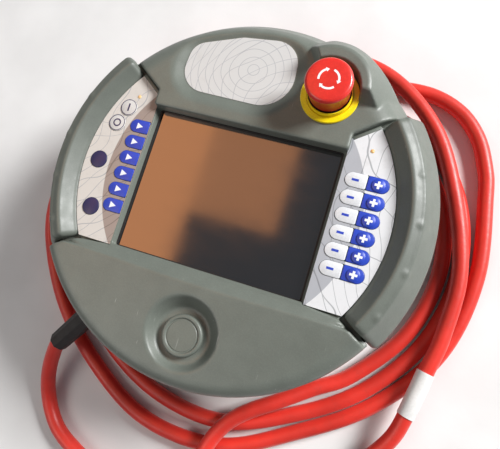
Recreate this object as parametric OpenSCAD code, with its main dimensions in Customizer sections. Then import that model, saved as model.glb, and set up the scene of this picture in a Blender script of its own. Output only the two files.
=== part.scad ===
// Hand-held teach pendant: round two-shell housing with a sunk touch screen, keypads, stop button,
// side grips, a rear grip ring with enabling keys, and a long cable that ends in a round plug.
// Origin: on the standing surface, under the centre of the round housing. +Z leaves the face,
// +Y points to the nameplate.

/* [Housing] */
// Width of the housing outside the keypads
rim_w = 21.8; // [20:0.2:24]
// Height of the keypad plane above the standing surface
face_z = 80; // [76:1:86]
// Height of the parting line between the shells
rim_z = 62; // [58:1:64]
// Height of the flat back of the housing
back_z = 38; // [34:1:41]
// How far the flank of the rear shell draws in towards the flat back
flank_w = 26; // [22:1:30]
// Wall of both shells
wall = 2.6; // [2:0.1:3]
// Rise of the decks over the keypad plane
deck_rise = 5; // [4:0.5:6]
// Width of the rounded shoulder of the decks
shoulder_w = 24; // [18:1:26]
// Gap between the decks and the grips
seam = 2.6; // [1.6:0.2:3.4]

/* [Screen] */
// Width of the screen window
window_w = 127; // [120:1:130]
// Height of the screen window below the lip of the top deck
window_h = 97; // [90:1:100]
// Distance of the lower edge of the window below the centre of the housing
window_low = 52.4; // [50:0.2:54]
// Depth of the glass below the keypad plane
glass_sink = 6; // [5:0.5:7]
// Thickness of the touch glass
glass_t = 2.2; // [1.6:0.2:3]
// Thickness of the screen module
module_t = 8; // [6:0.5:9]
// Margin of the glass behind the window
glass_margin = 4.5; // [3.5:0.5:6]

/* [Keypads] */
// Width of the strip between the window and the keypads
bezel = 2.5; // [2:0.1:4]
// Width of the keypads at the middle of the housing
pad_w = 38.2; // [36:0.2:42]
// Drop of the lower edge of the keypads below the window
pad_drop = 1; // [0.8:0.1:2]
// Rise of the inner upper corner of the keypads over the window
pad_rise = 8.6; // [7:0.2:10]
// Angle of the slanted upper edge of the keypads
pad_slope = 36.4; // [33:0.2:39]
// Thickness of a keypad foil
foil_t = 0.8; // [0.6:0.1:1.2]
// Thickness of a key board
key_board_t = 1.2; // [0.8:0.1:1.6]
// Thickness of a key cap
key_t = 0.8; // [0.6:0.1:1]
// Rise of the key caps over the foil
key_rise = 0.5; // [0.4:0.1:0.8]
// Gap round each key cap
key_gap = 0.2; // [0.15:0.05:0.3]
// Distance between two rows of keys
row_pitch = 11.3; // [10.6:0.1:11.6]
// Height of the minus and plus keys
pill_h = 9.2; // [8:0.2:9.6]
// Margin between the minus keys and the inner edge of the keypad
pill_in = 2.9; // [2:0.1:4]
// Margin between the plus keys and the outer edge of the keypad
pill_out = 8; // [7:0.2:10]
// Height of the soft keys
soft_h = 8.8; // [8:0.2:9.6]
// Width of the soft keys
soft_w = 13.6; // [12:0.2:14.4]
// Radius of the on and off keys
power_r = 6; // [5:0.1:6.1]
// Radius of the two dark round keys
round_r = 5.9; // [5:0.1:6.4]
// Distance of the middles of the round keys from the outer edge of the keypad
round_in = 10.2; // [9:0.2:11]
// Radius of a status light
led_r = 1.3; // [1:0.1:1.8]

/* [Grips] */
// Width of the side grips
grip_w = 27.8; // [26:0.2:30]
// Rise of the grips over the keypad plane
grip_rise = 8; // [6.5:0.5:9]
// Diameter of the pips
pip_d = 6; // [4:0.5:7]
// Angle between two pips
pip_step = 14.5; // [12:0.5:15]

/* [Stop button] */
// Distance of the stop button to the right of the middle
stop_x = 46; // [44:0.5:47]
// Distance of the middle of the stop button from the rim of the housing
stop_in = 37.6; // [37:0.2:40]
// Diameter of the yellow ring
stop_ring_d = 37; // [34:0.5:38]
// Diameter of the head at its top
stop_head_d = 29; // [28:0.5:30]
// Height of the top of the head over the keypad plane
stop_top = 28.6; // [26:0.2:30]
// Travel of the head
stop_travel = 4.5; // [3:0.5:5]
// Diameter of the mounting barrel
stop_barrel_d = 22; // [20:0.5:22.5]
// Rise of the guard collar over the keypad plane
guard_rise = 15; // [13:1:18]
// Width of the flat top of the guard collar
guard_w = 6; // [4:0.5:8]

/* [Nameplate and blanking plug] */
// Thickness of the nameplate
plate_t = 0.5; // [0.4:0.1:1]
// Depth of the nameplate dish
dish_depth = 4; // [3:0.5:5]
// Width of the sloped wall round the nameplate
dish_rim = 8; // [6:0.5:9]
// Distance of the blanking plug below the middle
blank_y = 94; // [92:0.5:95]
// Diameter of the dish round the blanking plug
blank_dish_d = 49; // [44:0.5:50]
// Depth of that dish
blank_depth = 8.5; // [6:0.5:9.5]
// Diameter of the collar of the blanking plug
blank_d = 26.4; // [25:0.2:28]
// Height of that collar
blank_h = 4; // [3:0.5:5]

/* [Rear grip] */
// Outer diameter of the grip ring
ring_d = 116; // [112:1:118]
// Width of the grip ring
ring_w = 22; // [20:1:24]
// Thickness of the grip ring
ring_t = 16; // [14:1:18]
// Width of the two posts of the grip ring
post_w = 30; // [26:1:34]
// Half of the angle that an enabling key covers
key_half_angle = 24; // [20:1:28]
// Travel of an enabling key
enable_travel = 4; // [2:0.5:4.5]
// How far an enabling key stands out of the ring
enable_proud = 3; // [2:0.5:4]

/* [Cable] */
// Diameter of the cable
cord_d = 11; // [10:0.2:12]
// Direction in which the cable leaves the housing
exit_angle = 232; // [229:1:235]
// Slope of the cable where it leaves
exit_slope = 16; // [13:1:18]
// Height of the cable exit
exit_z = 49; // [47:0.5:50]
// Length of the cable boot
boot_l = 55; // [48:1:60]
// Length of the plug
plug_l = 62; // [50:1:70]
// Diameter of the plug
plug_d = 24; // [20:0.5:26]

/* [Hidden] */
$fn = 96;

// Colours
body_green = [0.42, 0.45, 0.41];
key_blue = [0.17, 0.28, 0.78];
key_navy = [0.12, 0.12, 0.28];
foil_grey = [0.86, 0.84, 0.82];
stop_red = [0.86, 0.16, 0.14];
metal = [0.72, 0.73, 0.75];
board_green = [0.1, 0.35, 0.2];

// Clearances
tiny = 0.01;
slip = 0.05;       // radial play of screws and nuts in their holes
play = 0.3;        // gap between pieces that move past each other
far = 400;         // longer than any piece

// Heights
deck_z = face_z + deck_rise;
well_z = face_z - foil_t - key_board_t;
glass_z = face_z - glass_sink;
seal_t = well_z - wall - glass_z;
seat_z = well_z - 2;
module_z = glass_z - glass_t - 1 - module_t;
bracket_t = 1.5;
bracket_z = module_z - bracket_t;
board_t = 1.6;
board_gap = 8;
board_z = bracket_z - board_gap - board_t;

// Radii
pad_in = window_w / 2 + bezel;
pad_r = pad_in + pad_w;
body_r = pad_r + rim_w;
grip_r = pad_r + grip_w;
back_r = body_r - flank_w;
skirt_r = body_r - 6;
flank = flank_w / (rim_z - back_z);

// Window
window_top = window_h - window_low;
lip_over = 0.6;
pad_low = window_low + pad_drop;
pad_top = window_top + pad_rise;

// Screws between the shells
screw_r = 2;
screw_head_r = 3.6;
screw_head_h = 3;
boss_r = 4.6;
shell_screw_r = body_r - 16;
shell_screw_angles = [20, 131, 165, 200, 285, 340];

// Outline helpers
function arc(cx, cy, rx, ry, a0, a1, n) =
    [for (i = [0:n]) [cx + rx * cos(a0 + (a1 - a0) * i / n), cy + ry * sin(a0 + (a1 - a0) * i / n)]];
function flank_r(z) = back_r + (z - back_z) * flank;
module both_sides() {
    children();
    mirror([1, 0, 0]) children();
}
module prism(z0, z1) translate([0, 0, z0]) linear_extrude(z1 - z0) children();

// ---- Plan outlines ----
// Corner of a keypad where the slanted edge meets its outer arc
slope_dir = [cos(pad_slope), sin(pad_slope)];
low_out = [sqrt(pad_r * pad_r - pad_low * pad_low), -pad_low];
low_angle = atan2(low_out[1], low_out[0]);
low_dir = [cos(low_angle), sin(low_angle)];
top_in = [pad_in, pad_top];
// Sector on the right that the keypad and the grip share, widened by g on its two slanted edges
module side_sector(g) {
    up = [-slope_dir[1], slope_dir[0]];
    down = [low_dir[1], -low_dir[0]];
    a = top_in + g * up + g * up[0] * [-1, 0];
    b = low_out + g * down;
    polygon([[pad_in - 0, -pad_low], a, top_in + g * up + far * slope_dir,
        b + far * low_dir, b]);
}
// The keypad itself
module pad_outline() {
    intersection() {
        polygon([[pad_in, -pad_low], top_in, top_in + far * slope_dir, [far, -pad_low]]);
        circle(r = pad_r);
    }
}
module window_outline(grow) {
    translate([-window_w / 2 - grow, -window_low - grow])
        square([window_w + 2 * grow, window_h + 2 * grow]);
}
// Everything between the decks: both keypads, both grips and the screen
module valley_outline() {
    both_sides() side_sector(seam);
    translate([-pad_in, -pad_low]) square([2 * pad_in, pad_low + window_top - lip_over]);
}
// Region of the two decks, drawn in by the wall
module deck_inside() {
    difference() {
        circle(r = body_r - wall);
        minkowski() {
            valley_outline();
            square(2 * wall, center = true);
        }
    }
}

// ---- Front shell ----
shoulder = arc(body_r - shoulder_w - 2, rim_z + 1, shoulder_w - 2, deck_z - rim_z - 1, 45, 90, 9);
// The lower deck is fuller at its edge
low_round = 14;
low_shoulder = arc(body_r + 0.5 - low_round, deck_z - low_round, low_round, low_round, 0, 90, 9);
module half_dome(edge, inset) {
    rotate_extrude(angle = 180) intersection() {
        polygon(concat([[0, rim_z], [edge[0][0] - inset, rim_z]],
            [for (p = edge) p - [inset, inset]], [[0, deck_z - inset]]));
        translate([0, rim_z - tiny]) square([far, far]);
    }
}
module dome(inset) {
    half_dome(shoulder, inset);
    mirror([0, 1, 0]) half_dome(low_shoulder, inset);
}
pad_t = 1.2;
stop_y = sqrt(pow(body_r - stop_in, 2) - stop_x * stop_x);
guard_in = stop_ring_d / 2 + play;
guard_start = 2;
guard_sweep = 126;
module guard() {
    top = face_z + guard_rise;
    out = guard_in + guard_w;
    intersection() {
        translate([stop_x, stop_y, 0]) rotate([0, 0, guard_start])
            rotate_extrude(angle = guard_sweep)
            polygon(concat([[guard_in, deck_z - wall], [guard_in, top - 1], [guard_in + 1, top]],
                [[out - 3, top], [out + 3, top - 2], [out + 7, top - 5], [out + 11, deck_z],
                [out + 22, deck_z - 20]]));
        cylinder(h = far, r = body_r - 0.4);
    }
}
// Corners of the nameplate: x, height over the window, radius
plate_up = window_top;
plate_corners = [[-38.5, 32.9, 16.5], [-1, 37.4, 21.5], [3, 45.4, 16.8], [-18, 44.2, 16], [-42.5, 39.9, 12]];
plate_z = deck_z - dish_depth;
module plate_solid(z0, grow0, z1, grow1) {
    hull() for (c = plate_corners)
        translate([c[0], plate_up + c[1], z0]) cylinder(h = z1 - z0, r1 = c[2] + grow0, r2 = c[2] + grow1, $fn = 48);
}
blank_floor = deck_z - blank_depth;
blank_hole_r = 11;
dish_run = 6.8;
module front_screws(r, z0, z1) {
    for (a = shell_screw_angles)
        rotate([0, 0, a]) translate([shell_screw_r, 0, z0]) cylinder(h = z1 - z0, r = r, $fn = 32);
}
bracket_screw_x = window_w / 2 - 6.5;
bracket_screw_low = -window_low - 10.6;
bracket_screw_high = window_top + 10.9;
module bracket_holes(r, z0, z1) {
    for (x = [-1, 1] * bracket_screw_x, y = [bracket_screw_low, bracket_screw_high])
        translate([x, y, z0]) cylinder(h = z1 - z0, r = r, $fn = 32);
}
module bevel_cut() {
    // Slope from the screen up to the lower deck
    run = 6.8;
    rotate([90, 0, 90]) translate([0, 0, -far / 2]) linear_extrude(far)
        polygon([[-pad_low - run, deck_z + tiny], [-pad_low + tiny, face_z + 0.3], [-pad_low + tiny, deck_z + 1],
            [-pad_low - run, deck_z + 1]]);
}
module front_shell() {
    color(body_green) difference() {
        union() {
            difference() {
                union() {
                    difference() {
                        dome(0);
                        prism(well_z, far) valley_outline();
                    }
                    guard();
                }
                // Hollow
                rotate_extrude() translate([0, rim_z - 1]) square([skirt_r - wall, seat_z - wall - rim_z + 1]);
                rotate_extrude() translate([0, rim_z - 1]) square([pad_r - wall, well_z - wall - rim_z + 1]);
                intersection() {
                    dome(wall);
                    prism(rim_z, far) deck_inside();
                }
                prism(rim_z - 1, rim_z + 3) circle(r = skirt_r - wall);
                // Seats of the grips
                both_sides() prism(seat_z, far) difference() {
                    side_sector(seam);
                    circle(r = pad_r);
                }
                both_sides() prism(rim_z - 1, far) difference() {
                    side_sector(seam);
                    circle(r = skirt_r);
                }
            }
            // Walls and floors of the two dishes
            intersection() {
                union() {
                    plate_solid(plate_z - wall, 1, deck_z, dish_rim + wall);
                    translate([0, -blank_y, blank_floor - wall]) cylinder(h = blank_depth + wall,
                        r1 = blank_dish_d / 2 - dish_run + 1, r2 = blank_dish_d / 2 + wall);
                }
                dome(0);
            }
            // Flat seat of the stop button
            translate([stop_x, stop_y, deck_z - wall - pad_t]) cylinder(h = wall + pad_t, r = stop_ring_d / 2);
            // Rib round the window, bosses
            prism(glass_z + seal_t, well_z) difference() {
                window_outline(bezel);
                window_outline(0);
            }
            intersection() {
                union() {
                    front_screws(boss_r, rim_z, seat_z - 0.5);
                    intersection() {
                        front_screws(boss_r, rim_z, deck_z);
                        prism(rim_z, deck_z) deck_inside();
                    }
                    bracket_holes(boss_r - 0.6, bracket_z + bracket_t, deck_z - 2);
                }
                dome(1);
            }
        }
        plate_solid(plate_z, 0.3, deck_z + 1, dish_rim * (1 + 1 / dish_depth));
        translate([0, -blank_y, blank_floor]) cylinder(h = blank_depth + 1, r1 = blank_dish_d / 2 - dish_run,
            r2 = blank_dish_d / 2 + dish_run / blank_depth);
        bevel_cut();
        prism(glass_z, far) window_outline(0);
        translate([stop_x, stop_y, 0]) cylinder(h = far, r = stop_barrel_d / 2 + slip);
        translate([0, -blank_y, 0]) cylinder(h = far, r = blank_hole_r + slip);
        front_screws(screw_r + slip, rim_z - 1, seat_z - wall - 1);
        bracket_holes(1.5 + slip, bracket_z - 1, bracket_z + bracket_t + 6);
        both_sides() prism(well_z, far) side_sector(0.01);
    }
}

// ---- Rear shell ----
gland_r = 11;
gland_bore_r = 7.5;
gland_seat_r = gland_r + 1.6;
gland_in = 14;
gland_face = 8;
exit_r = flank_r(exit_z) - gland_face;
module at_exit(s) {
    rotate([0, 0, exit_angle]) translate([exit_r, 0, exit_z]) rotate([0, 90 + exit_slope, 0])
        translate([0, 0, s]) children();
}
post_at = (ring_d - ring_w) / 2;
grip_screw_x = 9;
module grip_screw_places() {
    for (x = [-1, 1] * grip_screw_x, y = [-1, 1] * post_at) translate([x, y, 0]) children();
}
module rear_shell() {
    inner = wall * 1.3;
    color(body_green * 0.9) difference() {
        union() {
            difference() {
                union() {
                    rotate_extrude() polygon([[0, back_z], [back_r - 2, back_z], [back_r + 1, back_z + 1],
                        [body_r - 0.5, rim_z - 2], [body_r - 0.5, rim_z], [0, rim_z]]);
                    intersection() {
                        at_exit(-gland_in) cylinder(h = gland_in + gland_face, r = gland_seat_r + 2.5);
                        translate([0, 0, back_z]) cylinder(h = rim_z - back_z - 3, r = body_r);
                    }
                }
                rotate_extrude() polygon([[0, back_z + wall], [back_r - wall, back_z + wall],
                    [body_r - wall - inner, rim_z - 3], [body_r - wall - inner, rim_z + 1], [0, rim_z + 1]]);
            }
            intersection() {
                union() {
                    front_screws(boss_r, back_z, rim_z);
                    at_exit(-gland_in) cylinder(h = gland_in + 2 * gland_face, r = gland_seat_r + 2.5);
                }
                rotate_extrude() polygon([[0, back_z], [back_r, back_z], [body_r - 1, rim_z - 2],
                    [body_r - 1, rim_z], [0, rim_z]]);
            }
            // Pillars for the main board
            board_screws() translate([0, 0, back_z]) cylinder(h = board_z - back_z, r = 3.5, $fn = 32);
        }
        front_screws(screw_r + slip, back_z, rim_z + 1);
        front_screws(screw_head_r + 0.4, back_z - 1, rim_z - 8);
        at_exit(-2 * gland_in) cylinder(h = far, r = gland_bore_r + slip);
        at_exit(gland_face) cylinder(h = far, r = gland_seat_r);
        grip_screw_places() translate([0, 0, back_z - 1]) cylinder(h = wall + 2, r = screw_r + slip, $fn = 32);
        translate([0, 0, rim_z - 2]) rotate_extrude() translate([skirt_r - wall - 2, 0]) square([1.6, 3]);
    }
}
module shell_seal() {
    color([0.1, 0.1, 0.1]) translate([0, 0, rim_z - 2]) rotate_extrude()
        translate([skirt_r - wall - 2, 0]) square([1.6, 2]);
}
module housing_screws() {
    color(metal) for (a = shell_screw_angles) rotate([0, 0, a]) translate([shell_screw_r, 0, 0]) {
        difference() {
            translate([0, 0, rim_z - 8 - screw_head_h]) cylinder(h = screw_head_h, r = screw_head_r, $fn = 48);
            translate([0, 0, rim_z - 8 - screw_head_h - tiny]) cylinder(h = 1.8, r = 1.8, $fn = 6);
        }
        translate([0, 0, rim_z - 8 - tiny]) cylinder(h = seat_z - rim_z + 4, r = screw_r, $fn = 32);
    }
}

// ---- Side grips ----
crest_r = pad_r + 15;
module grip_section() {
    top = face_z + grip_rise;
    polygon(concat([[pad_r + 0.2, seat_z], [pad_r + 0.2, face_z]],
        [[pad_r + 2, face_z + 0.6], [pad_r + 7, face_z + grip_rise * 0.72]],
        arc(crest_r - 4, top - 3, 4.5, 3, 140, 90, 3),
        arc(crest_r - 4.6, top - 8, 8, 8, 84, 35, 6),
        [[grip_r - 0.6, rim_z + 6], [grip_r, rim_z + 3], [grip_r - 1, rim_z - 2], [body_r, rim_z - 4], [body_r, rim_z],
        [skirt_r + 0.1, rim_z], [skirt_r + 0.1, seat_z]]));
}
module grip() {
    intersection() {
        union() {
            rotate([0, 0, low_angle - 4]) rotate_extrude(angle = pad_slope - low_angle + 12, $fn = 180)
                grip_section();
            for (k = [-2:2]) rotate([0, 0, 5 + pip_step * k])
                translate([crest_r, 0, face_z + grip_rise - pip_d * 1.1]) sphere(d = pip_d * 2, $fn = 32);
        }
        prism(rim_z - 10, far) side_sector(0);
        cylinder(h = far, r = grip_r + 1);
    }
}
module right_grip() color(body_green * 0.92) grip();
module left_grip() color(body_green * 0.92) mirror([1, 0, 0]) grip();

// ---- Screen ----
module screen_glass() color([0.12, 0.1, 0.1])
    prism(glass_z - glass_t, glass_z) window_outline(glass_margin);
module screen_seal() color([0.05, 0.05, 0.05]) prism(glass_z, glass_z + seal_t) difference() {
    window_outline(bezel);
    window_outline(-0.6);
}
module screen_module() {
    color(metal) difference() {
        prism(module_z, glass_z - glass_t) window_outline(glass_margin + 2);
        prism(glass_z - glass_t - 1, far) window_outline(1);
    }
}
module screen_bracket() {
    color(metal) difference() {
        union() {
            prism(bracket_z, bracket_z + bracket_t) window_outline(glass_margin + 2);
            bracket_holes(5, bracket_z, bracket_z + bracket_t);
            bracket_holes(2.8, bracket_z - 1.6, bracket_z + tiny);
        }
        prism(bracket_z - 1, far) window_outline(-22);
    }
}
board_w = window_w + 25;
board_l = window_h - 1;
board_low = -window_low - 3.6;
board_edge = 10;
module board_screws() {
    for (x = [-1, 1] * (board_w / 2 - board_edge), y = [board_low + board_edge, board_low + board_l - board_edge])
        translate([x, y, 0]) children();
}
module chip(x, y, w, l, h) {
    translate([x * board_w, board_low + y * board_l, board_z + board_t]) cube([w * board_w, l * board_l, h]);
}
module main_board() {
    color(board_green) difference() {
        union() {
            translate([-board_w / 2, board_low, board_z]) cube([board_w, board_l, board_t]);
            chip(-0.26, 0.27, 0.24, 0.37, 2.4);
            chip(0.09, 0.19, 0.2, 0.19, 1.8);
            chip(0.13, 0.62, 0.09, 0.23, 4);
            chip(-0.45, 0.46, 0.08, 0.26, 5);
            for (i = [0:3]) translate([(0.09 * i - 0.37) * board_w, board_low + board_l / 16, board_z + board_t])
                cylinder(h = 6, r = 3, $fn = 24);
        }
        board_screws() translate([0, 0, board_z - 1]) cylinder(h = 4, r = 1.6, $fn = 24);
    }
}

// ---- Keypads ----
row_y = [for (k = [0:5]) row_pitch * (2.5 - k)];
pill_x0 = pad_in + pill_in;
pill_x1 = pad_r - pill_out;
pill_mid = (pill_x0 + pill_x1) / 2;
soft_x = pad_in + 0.4;
round_at = pad_r - round_in;
power_step = 2 * asin((2 * power_r + 2 * key_gap + 0.7) / 2 / round_at);
round_angles = [155.2, 155.2 + power_step, 180.4, 200.5];
round_radii = [power_r, power_r, round_r, round_r];
led_gap = 2.9;
led_angle = 180 - round_angles[0] + 2 * asin((power_r + led_r + led_gap) / 2 / round_at);
led_at = round_at * [cos(led_angle), sin(led_angle)];
module round_outline(i, g) rotate([0, 0, round_angles[i]]) translate([round_at, 0]) circle(r = round_radii[i] + g);
// D shape, straight towards the screen
module soft_outline(k, g) {
    r = soft_h / 2;
    translate([-soft_x, row_y[k]]) difference() {
        union() {
            translate([-soft_w + r, 0]) circle(r = r + g);
            translate([-soft_w + r, -r - g]) square([soft_w - r + g, soft_h + 2 * g]);
        }
        translate([g, -far / 2]) square(far);
    }
}
module pill_half(g) {
    r = pill_h / 2;
    translate([pill_x0 + r, 0]) circle(r = r + g);
    translate([pill_x0 + r, -r - g]) square([pill_mid - 0.2 - pill_x0 - r + g, pill_h + 2 * g]);
}
module minus_outline(k, g) translate([0, row_y[k]]) pill_half(g);
module plus_outline(k, g) translate([2 * pill_mid, row_y[k]]) mirror([1, 0]) pill_half(g);
module key_cap() {
    z0 = face_z + key_rise - key_t;
    prism(z0, z0 + key_t) children();
}
module left_pad_holes() {
    for (i = [0:3]) round_outline(i, key_gap);
    for (k = [0:5]) soft_outline(k, key_gap);
    translate([-led_at[0], led_at[1]]) circle(r = led_r + slip);
}
module right_pad_holes() {
    for (k = [0:5]) {
        minus_outline(k, key_gap);
        plus_outline(k, key_gap);
    }
    translate(led_at) circle(r = led_r + slip);
}
module left_foil() color(foil_grey) prism(face_z - foil_t, face_z) difference() {
    mirror([1, 0]) pad_outline();
    left_pad_holes();
}
module right_foil() color(foil_grey) prism(face_z - foil_t, face_z) difference() {
    pad_outline();
    right_pad_holes();
}
module right_key_board() color(board_green) prism(well_z, face_z - foil_t) difference() {
    pad_outline();
    translate(led_at) circle(r = led_r + slip);
}
module left_key_board() color(board_green) prism(well_z, face_z - foil_t) difference() {
    mirror([1, 0]) pad_outline();
    translate([-led_at[0], led_at[1]]) circle(r = led_r + slip);
}
module status_lights() color([1, 0.75, 0.35]) both_sides() translate([led_at[0], led_at[1], well_z]) {
    cylinder(h = face_z - well_z, r = led_r, $fn = 32);
    translate([0, 0, face_z - well_z]) intersection() {
        translate([0, 0, -1.2]) sphere(r = sqrt(led_r * led_r + 1.44), $fn = 32);
        cylinder(h = 2, r = led_r, $fn = 32);
    }
}
module on_key() color(foil_grey) key_cap() round_outline(0, 0);
module off_key() color(foil_grey) key_cap() round_outline(1, 0);
module round_key_1() color(key_navy) key_cap() round_outline(2, 0);
module round_key_2() color(key_navy) key_cap() round_outline(3, 0);
module soft_key(k) color(key_blue) key_cap() soft_outline(k, 0);
module minus_key(k) color(foil_grey) key_cap() minus_outline(k, 0);
module plus_key(k) {
    boss = pill_h / 2 - 0.5;
    color(key_blue) {
        key_cap() plus_outline(k, 0);
        translate([pill_x1 - pill_h / 2 - 2, row_y[k], face_z + key_rise - tiny])
            cylinder(h = 0.6, r1 = boss, r2 = boss - 0.6);
    }
}

// ---- Nameplate, stop button, blanking plug ----
module nameplate() color(foil_grey) plate_solid(plate_z, 0, plate_z + plate_t, 0);
ring_t0 = 1.5;
collar_z = deck_z + 4.5;
head_low = collar_z + 0.8;
head_top = face_z + stop_top;
neck_r = 11.4;
skirt_out = 12.9;
cavity_top = head_top - 4.6;
plunger_top = cavity_top - play;
neck_top = plunger_top - stop_travel - play;
module on_stop(z) translate([stop_x, stop_y, z]) children();
module stop_ring() {
    color([1, 0.85, 0]) on_stop(0) rotate_extrude() polygon([[skirt_out + 0.7, deck_z], [stop_ring_d / 2, deck_z],
        [stop_ring_d / 2, deck_z + ring_t0 - 0.4], [stop_ring_d / 2 - 0.4, deck_z + ring_t0],
        [skirt_out + 2.4, deck_z + ring_t0], [skirt_out + 2.2, collar_z - 0.4],
        [skirt_out + 1.8, collar_z], [skirt_out + 0.7, collar_z]]);
}
stop_low = rim_z + 2;
plunger_r = stop_barrel_d / 2 - 3.5;
module stop_body() {
    color([0.15, 0.15, 0.15]) on_stop(0) difference() {
        union() {
            translate([0, 0, stop_low]) cylinder(h = deck_z - stop_low + tiny, r = stop_barrel_d / 2);
            translate([0, 0, deck_z]) cylinder(h = 0.5, r = skirt_out + 0.6);
            translate([0, 0, deck_z]) cylinder(h = neck_top - deck_z, r = neck_r);
        }
        translate([0, 0, stop_low - 1]) cylinder(h = far, r = plunger_r + slip);
    }
}
module stop_nut() {
    color(metal) on_stop(deck_z - wall - pad_t - 4) difference() {
        cylinder(h = 4, r = stop_barrel_d / 2 + 4, $fn = 6);
        translate([0, 0, -1]) cylinder(h = 6, r = stop_barrel_d / 2 + slip);
    }
}
contact_h = 16;
contact_w = stop_barrel_d + 4;
contact_hole_x = contact_w * 0.3;
module stop_contacts() {
    color([0.8, 0.8, 0.76]) on_stop(stop_low - contact_h) difference() {
        translate([-contact_w / 2, -contact_w / 2, 0]) cube([contact_w, contact_w, contact_h]);
        translate([0, 0, contact_h - stop_travel - 2]) cylinder(h = far, r = plunger_r + 0.5);
        for (x = [-1, 1] * contact_hole_x) translate([x, 2.6 - contact_w / 2, -1]) cylinder(h = 4, r = 2, $fn = 24);
    }
}
module stop_plunger() {
    color([0.2, 0.2, 0.2]) on_stop(stop_low) cylinder(h = plunger_top - stop_low, r = plunger_r);
}
module stop_head() {
    edge = 2.2;
    out = stop_head_d / 2;
    color(stop_red) on_stop(0) rotate_extrude() polygon(concat(
        [[neck_r + 0.5, head_low], [skirt_out, head_low], [skirt_out + 0.2, head_low + 5],
        [out, head_top - 4.5]],
        arc(out - edge, head_top - 0.4 - edge, edge, edge, 0, 85, 4),
        [[0, head_top], [0, cavity_top], [neck_r + 0.5, cavity_top]]));
}
module blank_plug() {
    r = blank_d / 2;
    color(body_green) translate([0, -blank_y, 0]) difference() {
        union() {
            translate([0, 0, blank_floor]) rotate_extrude() polygon(concat([[0, 0], [r, 0]],
                arc(r - 1.2, blank_h - 1.2, 1.2, 1.2, 0, 90, 4), [[0, blank_h]]));
            translate([0, 0, blank_floor - 9]) cylinder(h = 9 + tiny, r = blank_hole_r);
        }
        translate([0, 0, blank_floor + blank_h - 0.6]) cylinder(h = 2, r = r - 2);
        translate([0, 0, blank_floor - 10]) cylinder(h = 8, r = blank_hole_r - 2.4);
    }
}
module blank_nut() {
    color(metal) translate([0, -blank_y, blank_floor - wall - 3.5]) difference() {
        cylinder(h = 3.5, r = blank_hole_r + 4, $fn = 6);
        translate([0, 0, -1]) cylinder(h = 6, r = blank_hole_r + slip);
    }
}

// ---- Rear grip ring ----
ring_r = ring_d / 2;
ring_in = ring_r - ring_w;
key_deep = 6;
key_high = ring_t - 6;
key_low = 3;
pocket_in = ring_r + enable_proud - key_deep - enable_travel - play;
module ring_sector(r0, r1, half, z0, z1) {
    rotate([0, 0, -half]) rotate_extrude(angle = 2 * half) translate([r0, z0]) square([r1 - r0, z1 - z0]);
}
module enabling_pocket() {
    ring_sector(pocket_in, ring_r + 1, key_half_angle + 3, key_low - play, key_low + key_high + play);
}
module enabling_bar() {
    ring_sector(ring_r + enable_proud - key_deep, ring_r + enable_proud, key_half_angle, key_low,
        key_low + key_high);
}
switch_w = 14;
switch_deep = 6;
switch_back = 0.7;
module switch_block(out) {
    translate([pocket_in - switch_deep, -switch_w / 2, key_low + 1])
        cube([switch_deep + out, switch_w, key_high - 2]);
}
module rear_grip() {
    e = 4;
    color(body_green * 0.8) difference() {
        union() {
            rotate_extrude() polygon(concat([[ring_in + e, 0], [ring_r - e, 0]],
                arc(ring_r - e, e, e, e, -70, 0, 4), arc(ring_r - e, ring_t - e, e, e, 0, 90, 5),
                arc(ring_in + e, ring_t - e, e, e, 90, 180, 5), arc(ring_in + e, e, e, e, 180, 250, 4)));
            for (s = [-1, 1]) translate([0, s * post_at, 0])
                prism(e, back_z) square([post_w, ring_w - 4], center = true);
        }
        for (m = [0, 1]) mirror([m, 0, 0]) {
            enabling_pocket();
            switch_block(1);
        }
        grip_screw_places() {
            translate([0, 0, -1]) cylinder(h = 9, r = screw_head_r + 0.4, $fn = 48);
            cylinder(h = back_z + 1, r = screw_r + slip, $fn = 32);
        }
    }
}
module grip_screws() {
    color(metal) grip_screw_places() {
        translate([0, 0, 8 - screw_head_h]) difference() {
            cylinder(h = screw_head_h, r = screw_head_r, $fn = 48);
            translate([0, 0, -tiny]) cylinder(h = 1.8, r = 1.8, $fn = 6);
        }
        translate([0, 0, 8 - tiny]) cylinder(h = back_z + wall - 8, r = screw_r, $fn = 32);
    }
}
module right_enabling_key() color([0.1, 0.1, 0.1]) enabling_bar();
module left_enabling_key() color([0.1, 0.1, 0.1]) mirror([1, 0, 0]) enabling_bar();
module enabling_switches() color([0.2, 0.2, 0.25]) both_sides() switch_block(-switch_back);

// ---- Cable ----
nut_h = 5;
gland_l = gland_face + nut_h + 2;
boot_r0 = 8.2;
boot_r1 = 7.2;
module cable_gland() {
    color([0.12, 0.12, 0.12]) difference() {
        union() {
            at_exit(gland_face) cylinder(h = nut_h, r = gland_r, $fn = 6);
            at_exit(-gland_in + 2) cylinder(h = gland_in + gland_face, r = gland_bore_r);
            at_exit(gland_face + nut_h - tiny) cylinder(h = gland_l - gland_face - nut_h + tiny, r = gland_r - 2);
        }
        at_exit(-gland_in) cylinder(h = far, r = cord_d / 2 + slip);
    }
}
module cable_boot() {
    color([0.06, 0.06, 0.06]) difference() {
        at_exit(gland_l) cylinder(h = boot_l, r1 = boot_r0, r2 = boot_r1, $fn = 8);
        at_exit(gland_l - 1) cylinder(h = boot_l + 2, r = cord_d / 2 + slip);
    }
}
// Route of the cable. It drops from the boot, sweeps round in front, climbs over the outer turns on its
// way in, doubles back behind the rear grip, lies round the pendant in wide turns and ends at the plug.
exit_dir = [cos(exit_angle) * cos(exit_slope), sin(exit_angle) * cos(exit_slope), -sin(exit_slope)];
exit_at = [exit_r * cos(exit_angle), exit_r * sin(exit_angle), exit_z];
lie = cord_d / 2;
over = lie + 12;
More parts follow.
